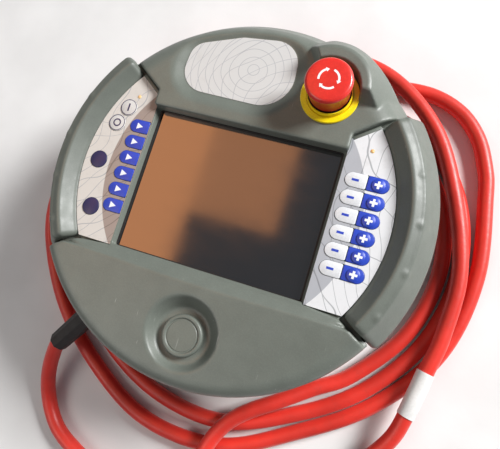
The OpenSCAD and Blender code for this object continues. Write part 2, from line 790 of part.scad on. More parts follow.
// X, Y and height
LEAD = [[-109.5, -147, 24], [-112, -160, 17], [-112, -174, 10], [-107, -187, 6], [-96, -199, lie],
    [-76, -211, lie], [-46, -220, lie], [-16, -217, 6.5], [7, -203, 13], [21, -177, over], [33, -147, over],
    [62, -125, 13]];
// Radius, angle and height
TURN_IN = [[141, -40, 6], [146, -20, lie], [147, 0, lie], [143, 20, lie], [132, 40, lie], [112, 60, lie],
    [97, 80, lie], [86, 100, lie]];
BACK = [[-36, 64, lie], [-49, 47, lie], [-78, 34, lie], [-109, 47, lie], [-121, 78, lie], [-109, 109, lie],
    [-78, 122, lie], [-38, 123, lie], [2, 122, lie], [40, 122, lie]];
TURNS = [[146, 60, lie], [168, 50, lie], [179, 40, lie], [175, 20, lie], [172, 0, lie], [171, -20, lie],
    [165.5, -40, lie], [163, -60, lie], [172, -80, lie], [173, -100, lie], [167, -120, lie],
    [166, -140, 6], [166, -160, 9], [156, -174, over], [141, -188, over], [129, -204, over],
    [121, -220, over], [110, -240, over], [107, -260, 11], [111, -280, lie], [124.5, -300, lie],
    [146, -320, lie], [156, -340, lie], [159.5, -360, lie], [158.5, -380, lie], [154, -400, lie],
    [151, -420, lie], [155, -440, lie], [152, -460, lie], [148, -480, lie], [146, -500, lie],
    [147, -520, lie], [148, -534, lie], [149, -548, 6.5], [148, -564, 15.5], [144, -580, over],
    [140, -600, over], [138, -620, over], [141, -640, over], [150, -660, over], [152, -680, over],
    [151, -700, over], [158, -720, over], [164, -736, over], [169, -745, over], [180, -755, over],
    [187, -760, 15]];
PLUG_AT = [126, -146, 12];
plug_angle = -130;
plug_dir = [cos(plug_angle), sin(plug_angle), 0];
function polar(list) = [for (p = list) [p[0] * cos(p[1]), p[0] * sin(p[1]), p[2]]];
ROUTE = concat([exit_at - 10 * exit_dir, exit_at + (gland_l + boot_l) * exit_dir], LEAD, polar(TURN_IN), BACK,
    polar(TURNS), [PLUG_AT - 14 * plug_dir, PLUG_AT]);
split_1 = 2 + len(LEAD) + 2;
split_2 = len(ROUTE) - 15;
// Stretch of the route from point i0 to point i1 as a tube of n sides
function unit(v) = v / norm(v);
function along(p, i) = unit(p[min(i + 1, len(p) - 1)] - p[max(i - 1, 0)]);
function ring_of(c, d, r, n) = let (u = unit(cross(d, [0, 0, 1])), w = cross(u, d))
    [for (k = [0:n - 1]) c + r * (cos(360 * k / n) * u + sin(360 * k / n) * w)];
module tube(p, i0, i1, r, n) {
    m = i1 - i0 + 1;
    skin = [for (i = [0:m - 2], k = [0:n - 1])
        [i * n + k, i * n + (k + 1) % n, (i + 1) * n + (k + 1) % n, (i + 1) * n + k]];
    polyhedron(points = [for (i = [i0:i1]) each ring_of(p[i], i < 2 ? exit_dir : along(p, i), r, n)],
        faces = concat([[for (k = [n - 1:-1:0]) k]], skin, [[for (k = [0:n - 1]) (m - 1) * n + k]]));
}
cord_sides = 10;
module cord_lead() color("red") tube(ROUTE, 0, split_1, cord_d / 2, cord_sides);
module cord_turns() color("red") tube(ROUTE, split_1, split_2, cord_d / 2, cord_sides);
module cord_tail() color("red") tube(ROUTE, split_2, len(ROUTE) - 1, cord_d / 2, cord_sides);
module at_plug(s) translate(PLUG_AT) rotate([0, 0, plug_angle]) rotate([0, 90, 0])
    translate([0, 0, s]) children();
plug_in = 4;
plug_step = 1.5;
ring_l = 18;
socket_l = 14;
socket_wall = 5;
module plug_body() {
    r = plug_d / 2;
    color([0.15, 0.15, 0.16]) difference() {
        at_plug(-plug_in) rotate_extrude() polygon([[0, 0], [lie + 2, 0], [lie + 3.5, 8], [r - plug_step, 18],
            [r - plug_step, plug_l - 4], [r - 2 * plug_step, plug_l - 2], [r - 2 * plug_step, plug_l], [0, plug_l]]);
        at_plug(-plug_in - 1) cylinder(h = plug_in + 1, r = cord_d / 2 + slip);
        at_plug(plug_l - plug_in - socket_l) cylinder(h = far, r = r - socket_wall);
    }
}
module plug_ring() {
    r = plug_d / 2;
    low = r - plug_step + slip;
    color(metal) at_plug(plug_l - plug_in - 10 - ring_l) rotate_extrude() polygon([[low, 0], [r - 0.4, 0], [r, 1],
        [r, ring_l - 1], [r - 0.4, ring_l], [low, ring_l]]);
}
label_l = 28;
module cord_label() {
    // Sleeve on the straight stretch before the plug
    i = len(ROUTE) - 4;
    d = unit(ROUTE[i] - ROUTE[i - 1]);
    mid = (ROUTE[i] + ROUTE[i - 1]) / 2;
    color("white") difference() {
        at_label(mid, d, -label_l / 2) cylinder(h = label_l, r = cord_d / 2 + 0.7);
        at_label(mid, d, -label_l) cylinder(h = 2 * label_l, r = cord_d / 2 + slip);
    }
}
module at_label(mid, d, s) translate(mid) rotate([0, acos(d[2]), atan2(d[1], d[0])]) translate([0, 0, s])
    children();

front_shell();
rear_shell();
shell_seal();
housing_screws();
left_grip();
right_grip();
screen_glass();
screen_seal();
screen_module();
screen_bracket();
main_board();
left_foil();
right_foil();
left_key_board();
right_key_board();
status_lights();
nameplate();
on_key();
off_key();
round_key_1();
round_key_2();
soft_key(0);  // soft_key_1
soft_key(1);  // soft_key_2
soft_key(2);  // soft_key_3
soft_key(3);  // soft_key_4
soft_key(4);  // soft_key_5
soft_key(5);  // soft_key_6
minus_key(0);  // minus_key_1
minus_key(1);  // minus_key_2
minus_key(2);  // minus_key_3
minus_key(3);  // minus_key_4
minus_key(4);  // minus_key_5
minus_key(5);  // minus_key_6
plus_key(0);  // plus_key_1
plus_key(1);  // plus_key_2
plus_key(2);  // plus_key_3
plus_key(3);  // plus_key_4
plus_key(4);  // plus_key_5
plus_key(5);  // plus_key_6
stop_ring();
stop_body();
stop_nut();
stop_contacts();
stop_plunger();
stop_head();
blank_plug();
blank_nut();
rear_grip();
grip_screws();
left_enabling_key();
right_enabling_key();
enabling_switches();
cable_gland();
cable_boot();
cord_lead();
cord_turns();
cord_tail();
cord_label();
plug_body();
plug_ring();
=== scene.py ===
"""Looks of the teach pendant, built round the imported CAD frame. Lengths in the shape code are millimetres."""

import math

import bmesh
import bpy
import numpy as np
from mathutils import Matrix, Vector


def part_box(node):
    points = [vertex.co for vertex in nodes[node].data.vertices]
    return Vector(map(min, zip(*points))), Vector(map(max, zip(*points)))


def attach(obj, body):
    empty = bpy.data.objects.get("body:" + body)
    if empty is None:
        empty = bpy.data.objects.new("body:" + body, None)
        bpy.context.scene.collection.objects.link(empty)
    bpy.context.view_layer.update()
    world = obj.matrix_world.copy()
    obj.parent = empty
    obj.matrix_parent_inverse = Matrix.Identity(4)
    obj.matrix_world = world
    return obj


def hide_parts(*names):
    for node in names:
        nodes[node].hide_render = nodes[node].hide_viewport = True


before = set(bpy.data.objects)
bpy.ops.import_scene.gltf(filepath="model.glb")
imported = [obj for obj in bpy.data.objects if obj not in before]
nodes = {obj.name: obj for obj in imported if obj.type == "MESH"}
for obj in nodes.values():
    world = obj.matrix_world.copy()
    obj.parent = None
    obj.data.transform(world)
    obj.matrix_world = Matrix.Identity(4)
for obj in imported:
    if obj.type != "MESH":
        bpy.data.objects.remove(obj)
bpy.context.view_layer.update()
MM = 0.001


def mm_box(node):
    low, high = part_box(node)
    return np.array(low) / MM, np.array(high) / MM


# ---------------------------------------------------------------- measures shared with the part's source
FACE, DECK, RIM, BACK_Z, SEAT, GLASS = 80.0, 85.0, 62.0, 38.0, 76.0, 74.0
BODY_R, PAD_R, GRIP_R, BACK_R, SKIRT_R = 126.0, 104.2, 132.0, 100.0, 120.0
PAD_IN, PAD_LOW, PAD_TOP, SEAM = 66.0, 53.4, 53.2, 2.6
WINDOW = (63.5, -52.4, 44.6)
SLOPE = math.radians(36.4)
STOP = (46.0, 75.5)
BLANK_Y = -94.0
PLATE = [(-38.5, 77.5, 16.5), (-1, 82, 21.5), (3, 90, 16.8), (-18, 88.8, 16), (-42.5, 84.5, 12)]
LOW_ANGLE = math.atan2(-PAD_LOW, math.sqrt(PAD_R ** 2 - PAD_LOW ** 2))
# only in the looks: the collar round the stop button, the floors of the dishes and of the keypads' valley, the
# pips of the grips, and a radius past the axis at which turned outlines close
GUARD = (STOP[0] - 1.5, STOP[1] + 2)
GUARD_IN, GUARD_TOP = 19.4, 95
PLATE_FLOOR, BLANK_FLOOR, VALLEY_FLOOR = 81, 76.5, 78.3
AXIS = -9
PIP_R, PIP_AT, PIP_STEP = 2.6, 118.4, 14.5


# ---------------------------------------------------------------- camera
def make_camera():
    """The camera, from its place and its right and up directions."""
    data = bpy.data.cameras.new("camera")
    data.sensor_width = 36
    data.lens = 35.86
    data.clip_start = 0.01
    camera = bpy.data.objects.new("camera", data)
    bpy.context.scene.collection.objects.link(camera)
    right = Vector((0.9384, 0.2954, -0.1795))
    up = Vector((-0.2648, 0.9481, 0.1762))
    back = right.cross(up)
    turn = Matrix((right, up, back)).transposed().to_4x4()
    camera.matrix_world = Matrix.Translation((0.0898, -0.0526, 0.3821)) @ turn
    bpy.context.scene.camera = camera


make_camera()


# ---------------------------------------------------------------- making meshes
def add_mesh(name, points, faces, material, body="base", smooth=True):
    """A mesh piece from points in millimetres, riding on a body."""
    mesh = bpy.data.meshes.new(name)
    mesh.from_pydata((np.asarray(points, float) * MM).tolist(), [], [list(f) for f in faces])
    mesh.validate()
    if smooth:
        mesh.shade_smooth()
    mesh.materials.append(material)
    piece = bpy.data.objects.new(name, mesh)
    bpy.context.scene.collection.objects.link(piece)
    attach(piece, body)
    return piece


def arc(cx, cy, r, a0, a1, n):
    return [(cx + r * math.cos(math.radians(a0 + (a1 - a0) * i / n)),
             cy + r * math.sin(math.radians(a0 + (a1 - a0) * i / n))) for i in range(n + 1)]


def lathe(name, profile, material, centre=(0, 0, 0), body="base", steps=96, turn=None, smooth_angle=35):
    """A closed profile of (radius, height) turned round Z at centre, then turned by the matrix."""
    points = []
    for i in range(steps):
        a = 2 * math.pi * i / steps
        points += [(r * math.cos(a), r * math.sin(a), z) for r, z in profile]
    n = len(profile)
    faces = []
    for i in range(steps):
        for k in range(n):
            a, b = i * n + k, i * n + (k + 1) % n
            c, d = ((i + 1) % steps) * n + (k + 1) % n, ((i + 1) % steps) * n + k
            faces.append((a, d, c, b))
    points = np.array(points)
    if turn is not None:
        points = points @ np.array(turn).T
    piece = add_mesh(name, points + np.array(centre), faces, material, body)
    clean(piece, smooth_angle)
    return piece


def clean(piece, angle=35):
    """Welds the poles, points the faces outwards and keeps the sharp edges crisp."""
    work = bmesh.new()
    work.from_mesh(piece.data)
    bmesh.ops.remove_doubles(work, verts=work.verts, dist=1e-6)
    bmesh.ops.dissolve_degenerate(work, edges=work.edges, dist=1e-7)
    bmesh.ops.recalc_face_normals(work, faces=work.faces)
    work.to_mesh(piece.data)
    work.free()
    piece.data.set_sharp_from_angle(angle=math.radians(angle))


def inset(outline, distance):
    """A convex or nearly convex closed outline, drawn in by a distance."""
    p = np.array(outline, float)
    before, after = p - np.roll(p, 1, 0), np.roll(p, -1, 0) - p
    before /= np.linalg.norm(before, axis=1)[:, None]
    after /= np.linalg.norm(after, axis=1)[:, None]
    bisector = np.stack([-(before + after)[:, 1], (before + after)[:, 0]], 1)
    bisector /= np.linalg.norm(bisector, axis=1)[:, None]
    cosine = np.clip((bisector * np.stack([-before[:, 1], before[:, 0]], 1)).sum(1), 0.5, 1)
    return p + bisector * (distance / cosine)[:, None]


def slab(name, outline, levels, material, body="base", angle=35):
    """A counter-clockwise outline stacked at levels of (inset, height), closed below and above."""
    rings = [inset(outline, d) if d else np.array(outline, float) for d, _ in levels]
    n = len(outline)
    points = [(x, y, z) for ring, (_, z) in zip(rings, levels) for x, y in ring]
    faces = [tuple(range(n - 1, -1, -1)), tuple(range(n * (len(levels) - 1), n * len(levels)))]
    for i in range(len(levels) - 1):
        for k in range(n):
            faces.append((i * n + k, i * n + (k + 1) % n, (i + 1) * n + (k + 1) % n, (i + 1) * n + k))
    piece = add_mesh(name, points, faces, material, body)
    clean(piece, angle)
    return piece


# ---------------------------------------------------------------- materials
class Shader:
    """A material with one Principled shader and short helpers for its nodes."""

    def __init__(self, name, colour, rough, metal=0.0):
        self.material = bpy.data.materials.new(name)
        self.material.use_nodes = True
        self.tree = self.material.node_tree
        self.out = self.tree.nodes["Principled BSDF"]
        self.set(self.out, {"Base Color": (*colour, 1), "Roughness": rough, "Metallic": metal})
        self.place = self.add("TexCoord").outputs["Object"]

    def set(self, node, values):
        for key, value in values.items():
            socket = node.inputs[key]
            if isinstance(value, bpy.types.NodeSocket):
                self.tree.links.new(value, socket)
            else:
                socket.default_value = value

    def add(self, kind, values=None, **settings):
        node = self.tree.nodes.new("ShaderNode" + kind)
        for key, value in settings.items():
            setattr(node, key, value)
        self.set(node, values or {})
        return node

    def noise(self, size_mm, detail=3, rough=0.5, place=None, stretch=None):
        place = place or self.place
        if stretch:
            place = self.add("Mapping", {"Vector": place, "Scale": stretch}).outputs[0]
        return self.add("TexNoise", {"Vector": place, "Scale": 1 / (size_mm * MM), "Detail": detail,
                                     "Roughness": rough}).outputs["Fac"]

    def maths(self, kind, *values):
        return self.add("Math", {i: v for i, v in enumerate(values)}, operation=kind).outputs[0]

    def band(self, value, low, high, to_low=0.0, to_high=1.0):
        """Smooth step of a value from low to high."""
        return self.add("MapRange", {"Value": value, "From Min": low, "From Max": high, "To Min": to_low,
                                     "To Max": to_high}, interpolation_type="SMOOTHSTEP").outputs[0]

    def mix(self, factor, a, b):
        node = self.add("Mix", data_type="RGBA")
        for index, value in ((0, factor), (6, a), (7, b)):
            if isinstance(value, bpy.types.NodeSocket):
                self.tree.links.new(value, node.inputs[index])
            else:
                node.inputs[index].default_value = value if index == 0 else (*value, 1)
        return node.outputs[2]

    def colour(self, value):
        self.set(self.out, {"Base Color": value})

    def rough(self, value):
        self.set(self.out, {"Roughness": value})

    def bump(self, height, depth_mm, strength=1.0):
        last = self.out.inputs["Normal"]
        values = {"Height": height, "Distance": depth_mm * MM, "Strength": strength}
        if last.is_linked:
            values["Normal"] = last.links[0].from_socket
        self.set(self.out, {"Normal": self.add("Bump", values).outputs[0]})


def scaled(colour, k):
    return tuple(c * k for c in colour)


def moulded(name, colour, rough, grain=0.9, depth=0.05, vary=0.12, scuffs=0.0, coat=0.0):
    """Moulded plastic or rubber: spark-eroded grain, slight mottling, thin scuffs."""
    s = Shader(name, colour, rough)
    mottle = s.noise(14, 4)
    shade = s.mix(s.band(mottle, 0.3, 0.7), scaled(colour, 1 - vary), scaled(colour, 1 + vary))
    fine = s.noise(grain, 2, 0.6)
    shade = s.mix(s.band(fine, 0.35, 0.75, 0, 0.18), shade, scaled(colour, 1.6))
    roughness = s.maths("MULTIPLY_ADD", s.noise(5, 3), 0.22, rough - 0.11)
    if scuffs:
        streaks = s.noise(2.2, 2, 0.7, stretch=(1.0, 0.08, 1.0))
        marks = s.maths("MULTIPLY", s.band(streaks, 0.68, 0.74), s.band(s.noise(26, 1), 0.5, 0.66))
        marks = s.maths("MULTIPLY", marks, scuffs)
        shade = s.mix(marks, shade, (0.5, 0.5, 0.47))
        roughness = s.maths("ADD", roughness, s.maths("MULTIPLY", marks, 0.15))
    s.colour(shade)
    s.rough(roughness)
    s.bump(fine, depth)
    if coat:
        s.set(s.out, {"Coat Weight": coat, "Coat Roughness": 0.15})
    return s.material


def metal(name, colour, rough, brushed=(1, 1, 1)):
    s = Shader(name, colour, rough, 1.0)
    lines = s.noise(0.8, 3, 0.6, stretch=brushed)
    s.colour(s.mix(s.band(lines, 0.3, 0.7), scaled(colour, 0.8), scaled(colour, 1.1)))
    s.rough(s.maths("MULTIPLY_ADD", lines, 0.25, rough - 0.1))
    s.bump(lines, 0.01)
    return s.material


def radius_of(s, centre=(0.0, 0.0)):
    """Distance in the plane of the face from a centre, in millimetres."""
    shifted = s.add("VectorMath", {0: s.place, 1: (centre[0] * MM, centre[1] * MM, 0)}, operation="SUBTRACT")
    flat = s.add("VectorMath", {0: shifted.outputs[0], 1: (1 / MM, 1 / MM, 0)}, operation="MULTIPLY")
    return s.add("VectorMath", {0: flat.outputs[0]}, operation="LENGTH").outputs["Value"]


def contour_print(s, spacing, wander, centre, width=0.016):
    """Thin level lines that wander like those of a map."""
    level = s.maths("DIVIDE", radius_of(s, centre), spacing)
    level = s.maths("ADD", level, s.maths("MULTIPLY", s.noise(42, 0.5), wander))
    near = s.maths("ABSOLUTE", s.maths("SUBTRACT", s.maths("FRACT", level), 0.5))
    return s.band(near, width, width * 2.2, 1.0, 0.0)


def foil_print(name, pale, field, centre):
    """Printed keypad foil: warm white with grey level lines, and a grey field towards the screen."""
    s = Shader(name, pale, 0.42)
    fine = contour_print(s, 9.0, 3.6, centre)
    wide = contour_print(s, 15.0, 3.0, (centre[0] * -0.2, -120), 0.009)
    lines = s.maths("MAXIMUM", fine, wide)
    shade = s.mix(lines, pale, (0.4, 0.41, 0.42))
    inside = s.band(radius_of(s), 85.6, 86.0, 1.0, 0.0)
    shade = s.mix(inside, shade, s.mix(lines, field, scaled(field, 0.6)))
    dirt = s.band(s.noise(7, 5, 0.65), 0.5, 0.8, 0.0, 0.16)
    s.colour(s.mix(dirt, shade, (0.25, 0.22, 0.19)))
    s.rough(s.maths("MULTIPLY_ADD", s.noise(3, 3), 0.2, 0.32))
    s.bump(s.noise(0.5, 2), 0.015)
    return s.material


def plate_print():
    pale = (0.62, 0.62, 0.61)
    s = Shader("nameplate_print", pale, 0.35)
    shade = s.mix(contour_print(s, 5.6, 1.6, (-8, 84), 0.02), pale, (0.4, 0.41, 0.43))
    shade = s.mix(contour_print(s, 8.5, 2.6, (34, 50), 0.014), shade, (0.42, 0.43, 0.45))
    s.colour(s.mix(s.band(s.noise(9, 4), 0.55, 0.8, 0, 0.1), shade, (0.3, 0.28, 0.25)))
    s.rough(s.maths("MULTIPLY_ADD", s.noise(4, 3), 0.15, 0.28))
    s.bump(s.noise(0.6, 2), 0.01)
    return s.material


def touch_glass():
    s = Shader("touch_glass", (0.004, 0.004, 0.005), 0.09)
    smear = s.noise(22, 5, 0.6, stretch=(1, 2.2, 1))
    s.rough(s.band(smear, 0.3, 0.8, 0.08, 0.13))
    dust = s.band(s.noise(0.9, 2, 0.7), 0.73, 0.8, 0.0, 0.25)
    s.colour(s.mix(dust, (0.004, 0.004, 0.005), (0.3, 0.28, 0.26)))
    s.set(s.out, {"Coat Weight": 1.0, "Coat Roughness": 0.12, "IOR": 2.3})
    return s.material


def circuit():
    s = Shader("circuit", (0.015, 0.1, 0.045), 0.35)
    tracks = s.add("TexBrick", {"Vector": s.place, "Scale": 260.0, "Color1": (0.012, 0.09, 0.04, 1),
                                "Color2": (0.02, 0.13, 0.06, 1), "Mortar": (0.03, 0.2, 0.09, 1)})
    s.colour(tracks.outputs["Color"])
    s.rough(s.maths("MULTIPLY_ADD", s.noise(2, 2), 0.3, 0.25))
    s.bump(s.noise(1.2, 2), 0.03)
    return s.material


def cable_jacket():
    colour = (0.72, 0.035, 0.022)
    s = Shader("cable_jacket", colour, 0.42)
    mottle = s.noise(30, 4)
    shade = s.mix(s.band(mottle, 0.3, 0.7), scaled(colour, 0.86), scaled(colour, 1.1))
    dirt = s.band(s.noise(9, 6, 0.7), 0.52, 0.8, 0.0, 0.3)
    s.colour(s.mix(dirt, shade, (0.28, 0.05, 0.04)))
    s.rough(s.maths("MULTIPLY_ADD", s.noise(6, 4), 0.25, 0.3))
    s.bump(s.noise(3.5, 3), 0.12)
    s.bump(s.noise(0.7, 2), 0.02)
    s.set(s.out, {"Sheen Weight": 0.15, "Sheen Roughness": 0.4})
    return s.material


def lamp_lens():
    s = Shader("lamp_lens", (0.85, 0.5, 0.2), 0.25)
    s.rough(s.maths("MULTIPLY_ADD", s.noise(0.6, 2), 0.2, 0.15))
    s.colour(s.mix(s.noise(1.0, 2), (0.8, 0.45, 0.18), (0.95, 0.62, 0.3)))
    s.bump(s.noise(0.4, 1), 0.03)
    s.set(s.out, {"Subsurface Weight": 0.2, "Subsurface Scale": 0.002})
    return s.material


BODY = (0.142, 0.158, 0.136)
M = {
    "housing": moulded("housing", BODY, 0.42, vary=0.05, scuffs=0.5),
    "rear": moulded("rear_housing", scaled(BODY, 0.9), 0.48, vary=0.06, scuffs=0.3),
    "grip": moulded("grip_rubber", scaled(BODY, 0.9), 0.45, grain=0.7, depth=0.05, vary=0.06, scuffs=0.25),
    "ring_grip": moulded("rear_grip", scaled(BODY, 0.8), 0.55, scuffs=0.4),
    "black": moulded("black_plastic", (0.018, 0.018, 0.02), 0.45, vary=0.2),
    "rubber": moulded("black_rubber", (0.012, 0.012, 0.013), 0.6, grain=0.6, vary=0.25),
    "red": moulded("stop_red", (0.70, 0.028, 0.02), 0.33, grain=1.4, depth=0.02, vary=0.06, coat=0.25),
    "yellow": moulded("stop_yellow", (0.92, 0.7, 0.004), 0.36, grain=1.2, depth=0.02, vary=0.06, coat=0.2),
    "blue": moulded("key_blue", (0.022, 0.06, 0.46), 0.36, grain=1.0, depth=0.015, vary=0.06),
    "navy": moulded("key_navy", (0.02, 0.022, 0.085), 0.4, grain=1.0, depth=0.015, vary=0.08),
    "white": moulded("key_white", (0.72, 0.73, 0.75), 0.38, grain=1.0, depth=0.015, vary=0.04),
    "paper": moulded("key_paper", (0.62, 0.6, 0.58), 0.4, grain=1.0, depth=0.015, vary=0.04),
    "ink": moulded("print_white", (0.85, 0.86, 0.88), 0.5, grain=0.5, depth=0.01, vary=0.03),
    "pale": moulded("contact_block", (0.6, 0.6, 0.55), 0.5),
    "label": moulded("label_sleeve", (0.74, 0.73, 0.71), 0.45, grain=1.5, vary=0.06),
    "steel": metal("screw_steel", (0.56, 0.57, 0.58), 0.32),
    "sheet": metal("plated_steel", (0.6, 0.6, 0.6), 0.38, (1, 0.06, 1)),
    "alloy": metal("plug_alloy", (0.62, 0.62, 0.63), 0.34, (1, 1, 0.1)),
    "foil_left": foil_print("left_foil_print", (0.64, 0.61, 0.57), (0.33, 0.27, 0.24), (-150, 40)),
    "foil_right": foil_print("right_foil_print", (0.75, 0.75, 0.76), (0.42, 0.43, 0.46), (150, 10)),
    "plate": plate_print(),
    "glass": touch_glass(),
    "board": circuit(),
    "cable": cable_jacket(),
    "lens": lamp_lens(),
}

DRESS = {
    "housing": ["front_shell", "blank_plug"], "rear": ["rear_shell"], "grip": ["left_grip", "right_grip"],
    "ring_grip": ["rear_grip"], "rubber": ["shell_seal", "screen_seal", "cable_boot"],
    "black": ["stop_body", "stop_plunger", "left_enabling_key", "right_enabling_key", "enabling_switches",
              "cable_gland", "plug_body"],
    "steel": ["housing_screws", "grip_screws", "stop_nut", "blank_nut"],
    "sheet": ["screen_bracket", "screen_module"], "alloy": ["plug_ring"], "pale": ["stop_contacts"],
    "board": ["main_board", "left_key_board", "right_key_board"], "glass": ["screen_glass"],
    "foil_left": ["left_foil"], "foil_right": ["right_foil"], "plate": ["nameplate"], "lens": ["status_lights"],
    "red": ["stop_head"], "yellow": ["stop_ring"], "label": ["cord_label"],
    "navy": ["round_key_1", "round_key_2"], "cable": ["cord_lead", "cord_turns", "cord_tail"],
    "white": ["on_key", "off_key"] + ["minus_key_%d" % k for k in range(1, 7)],
    "blue": ["%s_key_%d" % (n, k) for n in ("soft", "plus") for k in range(1, 7)],
}
for finish_name, members in DRESS.items():
    for member in members:
        nodes[member].data.materials.clear()
        nodes[member].data.materials.append(M[finish_name])


# ---------------------------------------------------------------- cable
# heights of the cable's middle: lying on the floor, and over another turn
CORD_D = 11.0
LIE = CORD_D / 2
OVER = LIE + 12
# where it leaves the rear shell, and where it enters the plug
EXIT_ANGLE, EXIT_SLOPE = math.radians(232), math.radians(16)
EXIT_DIR = np.array([math.cos(EXIT_ANGLE) * math.cos(EXIT_SLOPE), math.sin(EXIT_ANGLE) * math.cos(EXIT_SLOPE),
                     -math.sin(EXIT_SLOPE)])
EXIT_R = 103.9167
EXIT_AT = np.array([EXIT_R * math.cos(EXIT_ANGLE), EXIT_R * math.sin(EXIT_ANGLE), 49])
PLUG_AT = np.array([126, -146, 12.0])
PLUG_ANGLE = math.radians(-130)
PLUG_DIR = np.array([math.cos(PLUG_ANGLE), math.sin(PLUG_ANGLE), 0])
# the route: LEAD and BACK as (x, y, z), TURN_IN and TURNS as (radius, angle, z) round the pendant
LEAD = [[-109.5, -147, 23.5], [-111.5, -157, 18.5], [-112, -167.5, 13.5], [-110.4, -178, 9.2],
        [-105.8, -188.5, 6.6], [-98.5, -198, LIE], [-89, -205, LIE], [-76, -211, LIE], [-61, -216.5, LIE],
        [-46, -220, LIE], [-31, -220, 5.7], [-16, -217, 6.5], [-3, -211, 9.2], [7, -203, 13], [15, -191, 16],
        [21.5, -177, OVER], [26.5, -161.5, OVER], [34.5, -147.5, OVER], [46.5, -136, 16], [62, -125, 13],
        [84, -108.5, 8.5]]
TURN_IN = [[141, -40, 6], [146, -20, LIE], [147, 0, LIE], [143, 20, LIE], [132, 40, LIE], [112, 60, LIE],
           [97, 80, LIE], [86, 100, LIE]]
BEND, BEND_AT = 44, -78
BACK = [[-36, 62, LIE]]
BACK += [[BEND_AT + BEND * math.cos(math.radians(a)), -BEND_AT + BEND * math.sin(math.radians(a)), LIE]
         for a in np.arange(-45, -271, -22.5)]
BACK += [[-58, 122.8, LIE], [-38, 123, LIE], [2, 122, LIE], [40, 122, LIE]]
TURNS = [[146, 60, LIE], [166.5, 50, LIE], [177.5, 42, LIE], [180.5, 34.5, LIE], [178.5, 27, LIE],
         [175, 20, LIE], [172, 0, LIE], [171, -20, LIE], [165.5, -40, LIE], [163, -60, LIE],
         [172, -80, LIE], [173, -100, LIE], [167, -120, LIE], [166, -140, 6], [166, -160, 9],
         [156, -174, OVER], [141, -188, OVER], [129, -204, OVER], [121, -220, OVER], [110, -240, OVER],
         [107, -260, 11], [111, -280, LIE], [124.5, -300, LIE], [146, -320, LIE], [156, -340, LIE],
         [159.5, -360, LIE], [158.5, -380, LIE], [154, -400, LIE], [151, -420, LIE], [155, -440, LIE],
         [152, -460, LIE], [148, -480, LIE], [146, -500, LIE], [147, -520, LIE], [148, -534, LIE],
         [149, -548, 6.5], [148, -564, 15.5], [144, -580, OVER], [140, -600, OVER], [138, -620, OVER],
         [141, -640, OVER], [150, -660, OVER], [152, -680, OVER], [151, -700, OVER], [158, -720, OVER],
         [164, -736, OVER], [169, -745, OVER], [180, -755, OVER], [187, -760, 15]]


def polar(points):
    return [[r * math.cos(math.radians(a)), r * math.sin(math.radians(a)), z] for r, a, z in points]


def smooth_path(points, step):
    """A Catmull-Rom curve through the points, resampled at an even step."""
    p = np.array(points, float)
    p = np.vstack([2 * p[0] - p[1], p, 2 * p[-1] - p[-2]])
    out = []
    for i in range(1, len(p) - 2):
        a, b, c, d = p[i - 1:i + 3]
        for t in np.linspace(0, 1, 24, endpoint=False):
            out.append(0.5 * (2 * b + (c - a) * t + (2 * a - 5 * b + 4 * c - d) * t * t
                              + (3 * b - a - 3 * c + d) * t ** 3))
    out = np.vstack(out + [p[-2]])
    out[:, 2] = np.maximum(out[:, 2], LIE)
    run = np.r_[0, np.cumsum(np.linalg.norm(np.diff(out, axis=0), axis=1))]
    even = np.linspace(0, run[-1], int(run[-1] / step) + 1)
    return np.stack([np.interp(even, run, out[:, k]) for k in range(3)], 1), run[-1]


def tube_mesh(name, path, radius_at, material, sides=20, body="base"):
    """A round tube along a path; radius_at gives (distance along, radius) pairs."""
    path = np.asarray(path, float)
    run = np.r_[0, np.cumsum(np.linalg.norm(np.diff(path, axis=0), axis=1))]
    radius = np.interp(run, [a for a, _ in radius_at], [b for _, b in radius_at])
    ahead = np.gradient(path, axis=0)
    ahead /= np.linalg.norm(ahead, axis=1)[:, None]
    side = np.cross(ahead, (0, 0, 1))
    side /= np.linalg.norm(side, axis=1)[:, None]
    up = np.cross(side, ahead)
    angle = np.linspace(0, 2 * math.pi, sides, endpoint=False)
    ring = side[:, None] * np.cos(angle)[None, :, None] + up[:, None] * np.sin(angle)[None, :, None]
    points = (path[:, None] + ring * radius[:, None, None]).reshape(-1, 3)
    faces = [tuple(range(sides - 1, -1, -1)), tuple((len(path) - 1) * sides + k for k in range(sides))]
    for i in range(len(path) - 1):
        for k in range(sides):
            m = (k + 1) % sides
            faces.append((i * sides + k, i * sides + m, (i + 1) * sides + m, (i + 1) * sides + k))
    piece = add_mesh(name, points, faces, material, body)
    clean(piece, 50)
    return piece


STRAIGHT = (12, 26, 41, 56, 70)
route = [EXIT_AT + d * EXIT_DIR for d in STRAIGHT] + LEAD + polar(TURN_IN) + BACK + polar(TURNS)
route += [PLUG_AT - 14 * PLUG_DIR, PLUG_AT]
cord_path, cord_length = smooth_path(route, 4.0)
cable = tube_mesh("cable", cord_path, [(0, LIE), (1, LIE)], M["cable"])
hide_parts("cord_lead", "cord_turns", "cord_tail")

LABEL_AT = [174.3, -750.3, OVER]
label_mid = np.array(polar([LABEL_AT])[0])
nearest = int(np.argmin(np.linalg.norm(cord_path - label_mid, axis=1)))
label_path = cord_path[nearest - 4:nearest + 5]
sleeve = tube_mesh("label_sleeve", label_path, [(0, LIE + 0.6), (1, LIE + 0.6)], M["label"], 28)
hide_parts("cord_label")


def along(axis, start):
    """Turns a lathe's Z axis to an axis and puts its origin at start."""
    turn = Vector(axis).to_track_quat("Z", "Y").to_matrix()
    return np.array(turn), start


